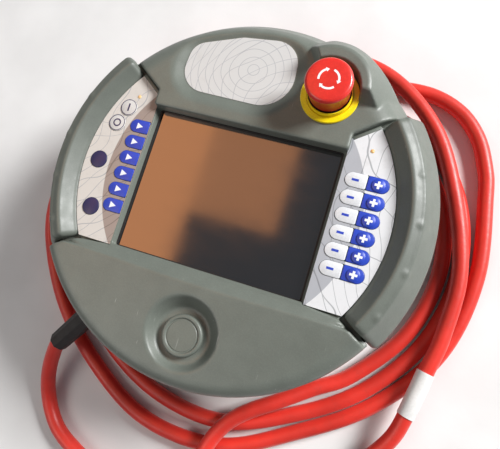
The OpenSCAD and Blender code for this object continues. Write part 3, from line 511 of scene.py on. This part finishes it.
def make_boot():
    """Strain relief: a tapered octagonal sleeve."""
    turn, start = along(EXIT_DIR, EXIT_AT + 15 * EXIT_DIR)
    points = []
    stations = [(0, 8.4), (0.8, 8.9), (6, 8.7), (7, 8.3), (54, 7.5), (55, 6.9), (55, 5.7), (0, 5.7)]
    sides = 8
    for s, r in stations:
        for k in range(sides):
            a = math.pi * (2 * k + 1) / sides
            points.append((r * math.cos(a), r * math.sin(a), s))
    faces = []
    for i in range(len(stations)):
        for k in range(sides):
            j, m = (i + 1) % len(stations), (k + 1) % sides
            faces.append((i * sides + k, i * sides + m, j * sides + m, j * sides + k))
    piece = add_mesh("boot_sleeve", np.array(points) @ turn.T + start, faces, M["rubber"])
    bevel = piece.modifiers.new("edges", "BEVEL")
    bevel.width = 0.0006
    bevel.segments = 2
    bevel.limit_method = "ANGLE"
    clean(piece, 25)
    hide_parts("cable_boot")
    return piece


boot = make_boot()


def make_plug():
    """Plug on the far end: a ribbed neck and smooth barrel, and the knurled coupling ring that turns on it."""
    turn, start = along(PLUG_DIR, PLUG_AT - 4 * PLUG_DIR)
    shell = [(5.6, 0), (7.2, 0), (7.9, 0.8)]
    for i in range(5):
        shell += [(r + 0.15 * i, h + 1.6 * i) for r, h in ((8.0, 1.4), (8.6, 1.8), (8.6, 2.5), (8.0, 2.9))]
    shell += [(9.4, 11.5), (10.1, 17.2), (10.5, 18.6), (10.5, 57.4), (10.0, 58.4), (9.0, 60.2), (9.0, 61.6),
              (8.6, 62), (7.4, 62), (7.0, 61.6), (7.0, 48), (0.01, 48), (0.01, 30), (5.6, 30)]
    body = lathe("plug_shell", shell, M["black"], start, turn=turn)
    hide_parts("plug_body")
    points, faces = [], []
    count, width = 120, 18.0
    levels = [(0, 10.56), (0, 11.5), (0.5, 12.0), (1.0, 11.75), (width - 1.0, 11.75), (width - 0.5, 12.0),
              (width, 11.5), (width, 10.56)]
    for i in range(count):
        a = 2 * math.pi * i / count
        for s, q in levels:
            knurl = 0.28 if 11.7 < q < 11.8 and i % 2 else 0.0
            points.append(((q - knurl) * math.cos(a), (q - knurl) * math.sin(a), s))
    n = len(levels)
    for i in range(count):
        for k in range(n):
            j, m = (i + 1) % count, (k + 1) % n
            faces.append((i * n + k, j * n + k, j * n + m, i * n + m))
    offset = start + 34 * PLUG_DIR
    ring = add_mesh("coupling_ring", np.array(points) @ turn.T + offset, faces, M["alloy"], "plug_ring")
    clean(ring, 30)
    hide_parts("plug_ring")
    return body, ring


plug, plug_collar = make_plug()


# ---------------------------------------------------------------- stage and light
def make_stage():
    s = Shader("floor", (0.8, 0.79, 0.78), 0.85)
    s.colour(s.mix(s.band(s.noise(60, 3), 0.3, 0.7), (0.77, 0.76, 0.75), (0.83, 0.82, 0.81)))
    s.bump(s.noise(3, 3), 0.05)
    mesh = bpy.data.meshes.new("floor")
    mesh.from_pydata([(-4, -4, 0), (4, -4, 0), (4, 4, 0), (-4, 4, 0)], [], [(0, 1, 2, 3)])
    mesh.materials.append(s.material)
    floor = bpy.data.objects.new("floor", mesh)
    bpy.context.scene.collection.objects.link(floor)


def area_light(name, at, towards, size, power, colour=(1, 1, 1)):
    data = bpy.data.lights.new(name, "AREA")
    data.shape = "RECTANGLE"
    data.size, data.size_y = size
    data.energy = power
    data.color = colour
    lamp = bpy.data.objects.new(name, data)
    lamp.location = at
    lamp.rotation_euler = (Vector(towards) - Vector(at)).to_track_quat("-Z", "Y").to_euler()
    bpy.context.scene.collection.objects.link(lamp)
    return lamp


def make_light():
    world = bpy.data.worlds.new("studio")
    bpy.context.scene.world = world
    world.use_nodes = True
    world.node_tree.nodes["Background"].inputs[0].default_value = (0.9, 0.93, 1.0, 1)
    world.node_tree.nodes["Background"].inputs[1].default_value = 0.17
    area_light("key", (1.5, 1.2, 1.25), (0, 0, 0.05), (0.8, 0.65), 84)
    area_light("fill", (-0.7, -0.7, 1.1), (0, 0, 0.05), (0.9, 0.7), 5, (1.0, 0.95, 0.9))
    # warm panels that only the gloss of the screen picks up
    warm = (1.0, 0.38, 0.12)
    for name, at, size, strength in (("warm_left", (-0.72, 0.15, 1.2), (0.56, 1.1), 2.1),
                                     ("warm_top", (-0.3, 0.42, 1.2), (0.28, 0.62), 1.3)):
        power = strength * math.pi * size[0] * size[1]
        lamp = area_light(name, at, (at[0], at[1] + 1e-6, 0), size, power, warm)
        lamp.visible_diffuse = False
    bpy.context.scene.view_settings.view_transform = "Standard"


make_stage()
make_light()

# ---------------------------------------------------------------- fields and their meshes
def smax(a, b, k):
    """Larger of two fields, with the crease between them rounded over k."""
    h = np.maximum(k - np.abs(a - b), 0) / k
    return np.maximum(a, b) + h * h * (k / 4)


def smin(a, b, k):
    return -smax(-a, -b, k)


def polygon_field(x, y, outline):
    """Signed distance to a closed outline, negative inside."""
    best = np.full(np.broadcast(x, y).shape, 1e9, np.float32)
    inside = np.zeros(best.shape, bool)
    ends = np.roll(np.array(outline, float), -1, 0)
    for (ax, ay), (bx, by) in zip(outline, ends):
        ex, ey, wx, wy = bx - ax, by - ay, x - ax, y - ay
        t = np.clip((wx * ex + wy * ey) / max(ex * ex + ey * ey, 1e-9), 0, 1)
        best = np.minimum(best, (wx - ex * t) ** 2 + (wy - ey * t) ** 2)
        if ay != by:
            inside ^= ((ay > y) != (by > y)) & (wx < ex * (y - ay) / (by - ay))
    return np.where(inside, -1, 1) * np.sqrt(best)


def hull_outline(circles, steps=40):
    """Outline round a set of (x, y, radius) circles."""
    points = sorted(p for x, y, r in circles for p in arc(x, y, r, 0, 360, steps))
    halves = []
    for run in (points, points[::-1]):
        half = []
        for p in run:
            while len(half) > 1 and ((half[-1][0] - half[-2][0]) * (p[1] - half[-2][1])
                                     - (half[-1][1] - half[-2][1]) * (p[0] - half[-2][0])) <= 0:
                half.pop()
            half.append(p)
        halves += half[:-1]
    return halves


class Grid:
    """A block of sample points, and the mesh of a field's zero level on it."""

    def __init__(self, low, high, step):
        self.low, self.step = np.array(low, float), step
        axes = [np.arange(a, b + step / 2, step, dtype=np.float32) for a, b in zip(low, high)]
        self.x, self.y, self.z = axes[0][:, None, None], axes[1][None, :, None], axes[2][None, None, :]

    def lathe(self, profile, centre=(0, 0)):
        """Distance to a (radius, height) outline turned round a vertical axis."""
        radius = np.hypot(self.x - centre[0], self.y - centre[1])[:, :, 0]
        samples = np.linspace(0, float(radius.max()) + 1, 700)
        table = polygon_field(samples[:, None], self.z[0, 0][None, :], profile)
        levels = [np.interp(radius, samples, table[:, k]) for k in range(table.shape[1])]
        return np.stack(levels, 2).astype(np.float32)

    def mesh(self, field):
        """Points and quads of the zero level, with one point in each cell that it crosses."""
        inside = field < 0
        corners = [(i, j, k) for i in (0, 1) for j in (0, 1) for k in (0, 1)]
        size = np.array(field.shape) - 1
        count = sum(inside[i:i + size[0], j:j + size[1], k:k + size[2]].astype(np.int8) for i, j, k in corners)
        active = (count > 0) & (count < 8)
        index = np.full(active.shape, -1, np.int64)
        cells = np.argwhere(active)
        index[active] = np.arange(len(cells))
        total, number = np.zeros((len(cells), 3)), np.zeros(len(cells))
        for a in corners:
            for axis in range(3):
                if a[axis]:
                    continue
                b = tuple(1 if n == axis else v for n, v in enumerate(a))
                fa = field[tuple((cells + a).T)].astype(float)
                fb = field[tuple((cells + b).T)].astype(float)
                cross = (fa < 0) != (fb < 0)
                t = np.where(cross, fa / np.where(cross, fa - fb, 1), 0)
                for n in range(3):
                    total[:, n] += np.where(cross, a[n] + (t if n == axis else 0), 0)
                number += cross
        points = self.low + self.step * (cells + total / number[:, None])
        quads = []
        for axis in range(3):
            u, w = np.eye(3, dtype=int)[(axis + 1) % 3], np.eye(3, dtype=int)[(axis + 2) % 3]
            first = inside.take(range(inside.shape[axis] - 1), axis)
            second = inside.take(range(1, inside.shape[axis]), axis)
            edges = np.argwhere(first != second)
            keep = np.ones(len(edges), bool)
            for n in range(3):
                if n != axis:
                    keep &= (edges[:, n] > 0) & (edges[:, n] < size[n])
            edges = edges[keep]
            ring = np.stack([index[tuple((edges - off).T)] for off in (0 * u, u, u + w, w)], 1)
            out = first[tuple(edges.T)]
            quads.append(np.where(out[:, None], ring, ring[:, ::-1]))
        return points, np.vstack(quads)


def field_piece(name, grid, field, material, body="base"):
    points, quads = grid.mesh(field)
    mesh = bpy.data.meshes.new(name)
    mesh.vertices.add(len(points))
    mesh.vertices.foreach_set("co", (points * MM).astype(np.float32).ravel())
    mesh.loops.add(len(quads) * 4)
    mesh.loops.foreach_set("vertex_index", quads.astype(np.int32).ravel())
    mesh.polygons.add(len(quads))
    mesh.polygons.foreach_set("loop_start", np.arange(0, len(quads) * 4, 4, dtype=np.int32))
    mesh.update(calc_edges=True)
    mesh.shade_smooth()
    mesh.materials.append(material)
    piece = bpy.data.objects.new(name, mesh)
    bpy.context.scene.collection.objects.link(piece)
    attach(piece, body)
    return piece


# ---------------------------------------------------------------- plans that front shell and grips share
def sector(grow):
    """Plan of the right keypad and grip together, widened on its two slanted edges."""
    slope = np.array([math.cos(SLOPE), math.sin(SLOPE)])
    low = np.array([math.cos(LOW_ANGLE), math.sin(LOW_ANGLE)])
    up, down = np.array([-slope[1], slope[0]]), np.array([low[1], -low[0]])
    inner = PAD_IN + 0.45  # a little under the foil's edge, so that nothing shows between them
    corner = np.array([inner, PAD_TOP]) + grow * up
    below = PAD_R * low + grow * down
    return [(inner, -PAD_LOW), tuple(corner + [grow * slope[1], 0]), tuple(corner + 400 * slope),
            tuple(below + 400 * low), tuple(below)]


def both_sides(grid, outline):
    """Distance in plan to an outline on the right and to its mirror image on the left."""
    return polygon_field(np.abs(grid.x[:, :, 0]), grid.y[:, :, 0], outline)[:, :, None].astype(np.float32)


# ---------------------------------------------------------------- front shell
def guard_field(g, radius):
    """Collar round the stop button: a ring with a sloping flank, open towards the screen."""
    x, y, z = g.x, g.y, g.z
    cx, cy = GUARD
    flank = [(AXIS, 55), (AXIS, GUARD_TOP), (23.6, GUARD_TOP), (25.6, 94.2), (38.6, 75.4), (54, 53)]
    guard = g.lathe(flank, (cx, cy + 2))
    # a wider cone trims the flank on its far side
    cone = [(AXIS, 55), (AXIS, 97), (33.8, 97), (50.6, 55)]
    guard = smax(guard, g.lathe(cone, (55, 80)), 0.8)
    # its two ends, each a slanted plane
    start = (74.4 + (z - DECK) * 0.6 - y) * 0.86
    end = 77.5 + 0.3 * (z - GUARD_TOP) - 0.865 * x - 0.5 * y
    guard = smax(guard, np.maximum(start, end), 0.5)
    guard = smax(guard, radius - (BODY_R - 0.4), 2.4)
    return smax(guard, GUARD_IN - np.hypot(x - cx, y - cy), 0.8)


def make_pad_frames():
    """Thin frame along the slanted edge of each keypad foil."""
    corner, far = [np.array(p) for p in sector(1.5)[1:3]]
    slant = (far - corner) / np.linalg.norm(far - corner)
    reach = math.sqrt((corner @ slant) ** 2 - corner @ corner + PAD_R ** 2) - corner @ slant
    down = 2.1 * np.array([slant[1], -slant[0]])
    plan = [corner, corner + down, corner + down + reach * slant, corner + reach * slant]
    for side, name in ((1, "right_pad_frame"), (-1, "left_pad_frame")):
        outline = plan if side > 0 else [np.array([-px, py]) for px, py in plan[::-1]]
        piece = slab(name, outline, [(0, FACE - 2.2), (0, FACE + 0.05), (0.3, FACE + 0.25)], M["housing"])


def make_front_shell():
    g = Grid((-128, -128, 61.7), (128, 128, 96.8), 0.9)
    x, y, z = g.x, g.y, g.z
    radius = np.hypot(x, y)
    shoulder = [(BODY_R, RIM + 1)] + arc(BODY_R - 26, RIM + 1, 22, 45, 90, 16)
    shell = g.lathe([(AXIS, 30), (BODY_R, 30)] + shoulder + [(AXIS, DECK)])
    # lower deck, falling a little from its ridge to a fuller edge
    ahead = np.maximum(-60 - y, 0)
    lower = z - DECK - 1 + 0.06 * ahead + 0.0004 * ahead ** 2
    shell = np.where(y < -60, smax(lower, radius - BODY_R - 0.5, 9.5), shell)
    shell = smin(shell, guard_field(g, radius), 0.9)
    # nameplate dish
    plan = polygon_field(x[:, :, 0], y[:, :, 0], hull_outline(PLATE))[:, :, None].astype(np.float32)
    dish = (z - PLATE_FLOOR - 0.5 * smax(plan, np.float32(0), 1.2)) * 0.9
    shell = smax(shell, smin(dish, 9.5 - plan, 1), 1.3)
    # dish of the blanking plug
    ring = np.hypot(x, y - BLANK_Y)
    dish = smax(BLANK_FLOOR - z, (ring - 17.7 - (z - BLANK_FLOOR) * 0.8) * 0.78, 1.4)
    shell = smax(shell, -dish, 1.3)
    # slope from the screen up to the lower deck, its ridge slightly curved
    run = 8.6 - 3.6 * (x / 105) ** 2
    bevel = (z - FACE - 0.3 - (DECK - FACE + 0.7) / run * (-PAD_LOW - y)) * 0.85
    shell = smax(shell, smin(bevel, -PAD_LOW - y + 0.3, 0.4), 0.35)
    # valley of the keypads and the screen, the seats of the grips
    wide = both_sides(g, sector(SEAM))
    shell = smax(shell, -smax(wide, VALLEY_FLOOR - z, 0.6), 1.2)
    strip = np.maximum(np.abs(x) - PAD_IN - 0.05, np.maximum(-PAD_LOW - y, y - WINDOW[2] + 0.6))
    shell = smax(shell, -smax(strip, FACE - z, 0.5), 2.2)
    seat = np.maximum(wide, PAD_R - radius)
    shell = np.maximum(shell, -np.maximum(seat, SEAT + 0.2 - z))
    shell = np.maximum(shell, -np.maximum(both_sides(g, sector(0.3)), SKIRT_R - radius))
    # window and the hole of the stop button
    sides = (np.abs(x) - WINDOW[0] - (z - GLASS) * 0.42) * 0.92
    window = smax(sides, np.maximum(WINDOW[1] - y, y - WINDOW[2]), 1.2)
    shell = smax(shell, -window, 0.8)
    shell = np.maximum(shell, 11.05 - np.hypot(x - STOP[0], y - STOP[1]))
    piece = field_piece("front_cover", g, shell, M["housing"])
    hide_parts("front_shell")


# ---------------------------------------------------------------- side grips
def make_grips():
    for side, node in ((1, "right_grip"), (-1, "left_grip")):
        low = (84, -72, 56.5) if side > 0 else (-134, -72, 56.5)
        g = Grid(low, (low[0] + 50, 90, 91), 0.85)
        crest = PAD_R + 15
        profile = [(PAD_R + 0.25, SEAT), (PAD_R + 0.25, 79.8), (PAD_R + 2.2, 81), (PAD_R + 7.2, 86.4),
                   (PAD_R + 8.4, 87.5), (PAD_R + 9.4, 87.8), (PAD_R + 10.6, 87.5), (PAD_R + 14.4, 85.9)]
        profile += arc(crest - 4.6, 80, 8, 45, 30, 4)
        profile += [(GRIP_R - 0.6, 68), (GRIP_R, 65), (131.6, 62), (131, 59.4), (129.6, 58.2), (BODY_R, 58),
                    (BODY_R, RIM), (SKIRT_R + 0.15, RIM), (SKIRT_R + 0.15, SEAT)]
        field = g.lathe(profile)
        field = smax(field, both_sides(g, sector(-0.15)), 4.5)
        # four low pips
        for k in range(-2, 2):
            a = math.radians(5 + PIP_STEP * k)
            away = np.sqrt((g.x - side * PIP_AT * math.cos(a)) ** 2 + (g.y - PIP_AT * math.sin(a)) ** 2
                           + ((g.z - 82.5) * 0.8) ** 2)
            field = smin(field, away - PIP_R, 2.2)
        piece = field_piece(node + "_rubber", g, field, M["grip"])
        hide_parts(node)


# ---------------------------------------------------------------- rear shell and the grip ring behind it
def make_rear_shell():
    g = Grid((-128, -128, 36), (128, 128, 62.3), 1.0)
    x, y, z = g.x, g.y, g.z
    flank = (BODY_R - BACK_R) / (RIM - BACK_Z)
    shell = g.lathe([(AXIS, BACK_Z), (BACK_R - 5, BACK_Z), (BACK_R - 2, BACK_Z + 0.4), (BACK_R + 0.8, BACK_Z + 2),
                     (BACK_R + 2.8 * flank, BACK_Z + 3.6), (BODY_R - 2.2, RIM - 2.6), (BODY_R - 0.8, RIM - 1.2),
                     (BODY_R - 0.6, 80), (AXIS, 80)])
    # boss of the cable gland
    px, py, pz = x - EXIT_AT[0], y - EXIT_AT[1], z - EXIT_AT[2]
    ahead = px * EXIT_DIR[0] + py * EXIT_DIR[1] + pz * EXIT_DIR[2]
    across = np.sqrt(np.maximum(px * px + py * py + pz * pz - ahead * ahead, 0))
    boss = smax(across - 15.1, smax(ahead - 8, -ahead - 30, 1), 2)
    boss = smax(boss, np.maximum(BACK_Z - z, z - 59), 2)
    shell = smin(shell, boss, 3)
    shell = smax(shell, -smax(across - 12.6, 8 - ahead, 0.5), 0.8)
    # countersinks of the housing screws
    for a in (20, 131, 165, 200, 285, 340):
        cx, cy = 110 * math.cos(math.radians(a)), 110 * math.sin(math.radians(a))
        shell = smax(shell, -smax(np.hypot(x - cx, y - cy) - 4.1, z - (RIM - 8), 0.4), 0.8)
    piece = field_piece("rear_cover", g, shell, M["rear"])
    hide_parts("rear_shell")


# ---------------------------------------------------------------- keys and their printed marks
INK = 0.06


def key_outline(node, shape):
    """Plan of a key from the box of its node: round, or a D with its round end on the left or the right."""
    low, high = mm_box(node)
    r, mid = (high[1] - low[1]) / 2, (high[1] + low[1]) / 2
    if shape == "round":
        return arc((low[0] + high[0]) / 2, mid, r, 0, 360, 48)[:-1]
    corner = 1.0
    if shape == "left":
        return (arc(low[0] + r, mid, r, 90, 270, 24) + arc(high[0] - corner, low[1] + corner, corner, -90, 0, 5)
                + arc(high[0] - corner, high[1] - corner, corner, 0, 90, 5))
    return (arc(high[0] - r, mid, r, -90, 90, 24) + arc(low[0] + corner, high[1] - corner, corner, 90, 180, 5)
            + arc(low[0] + corner, low[1] + corner, corner, 180, 270, 5))


def make_key(node, shape, finish):
    """The cap of a key with a softened edge; gives the height of its top."""
    low, _ = mm_box(node)
    top = FACE + 0.5
    levels = [(0, low[2]), (0, top - 0.3), (0.1, top - 0.1), (0.35, top)]
    cap = slab(node + "_cap", key_outline(node, shape), levels, M[finish], node, 80)
    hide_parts(node)
    return top


def mark(name, outline, top, finish, node):
    """A printed mark: a thin slab that stands just over the top of its key."""
    piece = slab(name, outline, [(0, top - 0.05), (0, top + INK)], M[finish], node)


def bar(x, y, w, h):
    return [(x - w / 2, y - h / 2), (x + w / 2, y - h / 2), (x + w / 2, y + h / 2), (x - w / 2, y + h / 2)]


def cross(x, y, w, h):
    a, b = w / 2, h / 2
    return [(x + i, y + j) for i, j in ((-b, -a), (b, -a), (b, -b), (a, -b), (a, b), (b, b), (b, a), (-b, a),
                                        (-b, b), (-a, b), (-a, -b), (-b, -b))]


def band_ring(name, cx, cy, r0, r1, a0, a1, z0, z1, finish, body, tip=0):
    """A flat ring or arc; with tip, the last part narrows to an arrow head."""
    steps = max(8, int(abs(a1 - a0) / 4))
    points, mid = [], (r0 + r1) / 2
    for i in range(steps + 1):
        a = math.radians(a0 + (a1 - a0) * i / steps)
        points += [(cx + r * math.cos(a), cy + r * math.sin(a)) for r in (r0, r1)]
    n = steps + 1
    faces = [(2 * i, 2 * i + 1, 2 * i + 3, 2 * i + 2) for i in range(steps)]
    if tip:
        wide, a = (r1 - r0) * 1.1, math.radians(a1)
        b = a + math.copysign(math.radians(tip), a1 - a0)
        points += [(cx + (mid - wide) * math.cos(a), cy + (mid - wide) * math.sin(a)),
                   (cx + (mid + wide) * math.cos(a), cy + (mid + wide) * math.sin(a)),
                   (cx + mid * math.cos(b), cy + mid * math.sin(b))]
        faces.append((2 * n, 2 * n + 1, 2 * n + 2))
    count = len(points)
    both = [(x, y, z1) for x, y in points] + [(x, y, z0) for x, y in points]
    edges = {}
    for face in faces:
        for p, q in zip(face, face[1:] + face[:1]):
            edges[(p, q)] = edges.get((p, q), 0) + 1
    rim = [(p, q) for p, q in edges if (q, p) not in edges]
    solid = faces + [tuple(v + count for v in f[::-1]) for f in faces]
    solid += [(q, p, p + count, q + count) for p, q in rim]
    piece = add_mesh(name, both, solid, M[finish], body, smooth=False)
    clean(piece, 20)


def make_keys():
    for k in range(1, 7):
        node = "soft_key_%d" % k
        top = make_key(node, "left", "blue")
        low, high = mm_box(node)
        x, y = (low[0] + high[0]) / 2 + 0.4, (low[1] + high[1]) / 2
        arrow = [(x + 2.3, y), (x - 2.1, y + 2.2), (x - 2.1, y - 2.2)]
        mark("arrow_%d" % k, arrow, top, "ink", node)
        node = "minus_key_%d" % k
        top = make_key(node, "left", "white")
        low, high = mm_box(node)
        y = (low[1] + high[1]) / 2
        mark("minus_%d" % k, bar(low[0] + 6.4, y, 4.4, 1.5), top, "blue", node)
        node = "plus_key_%d" % k
        top = make_key(node, "right", "blue")
        low, high = mm_box(node)
        x = high[0] - 6.6
        boss = [(0, top - 0.1), (0, high[2] - 0.12), (0.12, high[2])]
        disc = slab("plus_boss_%d" % k, arc(x, y, 4.1, 0, 360, 40)[:-1], boss, M["blue"], node, 80)
        mark("plus_%d" % k, cross(x, y, 4.8, 1.5), high[2], "ink", node)
    for node, finish, slot in (("on_key", "paper", "light_key"), ("off_key", "paper", "light_key"),
                               ("round_key_1", "navy", "navy_key"), ("round_key_2", "navy", "navy_key")):
        top = make_key(node, "round", finish)
        low, high = mm_box(node)
        x, y = (low[0] + high[0]) / 2, (low[1] + high[1]) / 2
        if node == "on_key":
            mark("on_mark", bar(x, y, 1.1, 5.4), top, "navy", node)
        if node == "off_key":
            band_ring("off_mark", x, y, 1.9, 2.8, 0, 360, top - 0.05, top + INK, "navy", node)
        if finish == "paper":
            band_ring(node + "_rim", x, y, 5.2, 5.62, 0, 360, top - 0.05, top + INK, "navy", node)


# ---------------------------------------------------------------- stop button and blanking plug
def make_stop():
    x, y = STOP
    low, high = mm_box("stop_head")
    r, top, skirt = (high[0] - low[0]) / 2, high[2], low[2]
    head = [(11.95, skirt), (12.5, skirt), (12.8, skirt + 0.4), (r - 0.45, top - 4.6), (r - 0.05, top - 3.4)]
    head += [(r - 2.6 + 2.6 * math.cos(t), top - 2.9 + 2.5 * math.sin(t)) for t in np.linspace(0, 1.4, 10)]
    head += [(r - 4, top - 0.22), (8, top - 0.08), (3, top), (0, top), (0, top - 3.3), (11.95, top - 3.3)]
    piece = lathe("stop_mushroom", head, M["red"], (x, y, 0), "stop_head", 128)
    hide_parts("stop_head")
    for k in range(3):
        a = 194 + 120 * k
        band_ring("turn_arrow_%d" % (k + 1), x, y, 5.4, 6.7, a, a - 76, top - 0.35, top, "ink", "stop_head",
                  18)
    low, high = mm_box("stop_ring")
    r, z = (high[0] - low[0]) / 2, low[2]
    inner = 13.62
    ring = [(inner, z), (r, z), (r, z + 1.0), (r - 0.4, z + 1.5), (15.0, z + 1.5), (14.9, z + 0.3),
            (14.35, z + 0.3), (14.3, high[2] - 0.3), (14.1, high[2]), (inner, high[2])]
    piece = lathe("stop_collar", ring, M["yellow"], (x, y, 0), steps=128)
    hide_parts("stop_ring")


def make_blank_plug():
    profile = [(0, 79.85), (9.5, 79.85), (9.9, 79.55), (10.3, 79.55), (10.7, 79.9), (11.0, 80.35), (11.5, 80.5),
               (12.3, 80.42), (12.9, 80.05), (13.2, 79.4), (13.2, 76.5), (11, 76.5), (11, 67.5), (8.6, 67.5),
               (8.6, 75), (0, 75)]
    piece = lathe("blank_cap", profile, M["housing"], (0, BLANK_Y, 0), steps=96)
    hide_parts("blank_plug")


# ---------------------------------------------------------------- grip ring and enabling keys
def sector_field(g, half, inner, outer, low, high, k):
    """A piece of a ring round +X and -X, with its edges rounded over k."""
    radius, across = np.hypot(g.x, g.y), np.abs(g.y)
    sides = across * math.cos(math.radians(half)) - np.abs(g.x) * math.sin(math.radians(half))
    plan = smax(smax(inner - radius, radius - outer, k), sides, k)
    return smax(plan, np.maximum(low - g.z, g.z - high), k)


def make_rear_grip():
    g = Grid((-60, -60, -1), (60, 60, 39), 0.9)
    inner, outer, e = 36, 58, 4
    high = 16
    profile = ([(inner + e, 0), (outer - e, 0)] + arc(outer - e, e, e, -70, 0, 8)
               + arc(outer - e, high - e, e, 0, 90, 10) + arc(inner + e, high - e, e, 90, 180, 10)
               + arc(inner + e, e, e, 180, 250, 8))
    posts = smax(np.abs(g.x) - 15, np.abs(np.abs(g.y) - 47) - 9, 4)
    field = smin(g.lathe(profile), np.maximum(posts, np.maximum(e - g.z, g.z - BACK_Z - 0.2)), 4)
    field = smax(field, -sector_field(g, 27, 50.7, 70, 2.7, 13.3, 0.6), 0.8)
    # windows for the enabling keys, seats of their switches, and the holes of the grip's screws
    switch = np.maximum(np.maximum(np.abs(np.abs(g.x) - 48) - 4, np.abs(g.y) - 7.1), np.abs(g.z - 8) - 4.1)
    field = smax(field, -switch, 0.4)
    holes = np.hypot(np.abs(g.x) - 9, np.abs(g.y) - 47) - 4
    field = smax(field, -smax(holes, g.z - 8, 0.3), 0.6)
    piece = field_piece("grip_loop", g, field, M["ring_grip"])
    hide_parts("rear_grip")


def make_enabling_keys():
    for side, node in ((1, "right_enabling_key"), (-1, "left_enabling_key")):
        low = (50, -27, 1.5) if side > 0 else (-63, -27, 1.5)
        g = Grid(low, (low[0] + 13, 27, 14.5), 0.5)
        ribs = 0.3 * np.cos(np.arctan2(g.y, np.abs(g.x)) * 100) - 0.3
        ribs = ribs * (np.abs(g.z - 8) < 3.4)
        field = sector_field(g, 24, 55, 61, 3, 13, 1.8) - np.where(np.hypot(g.x, g.y) > 58, ribs, 0)
        piece = field_piece(node + "_bar", g, field, M["black"], node)
        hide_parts(node)


make_front_shell()
make_pad_frames()
make_grips()
make_rear_shell()
make_keys()
make_stop()
make_blank_plug()
make_rear_grip()
make_enabling_keys()
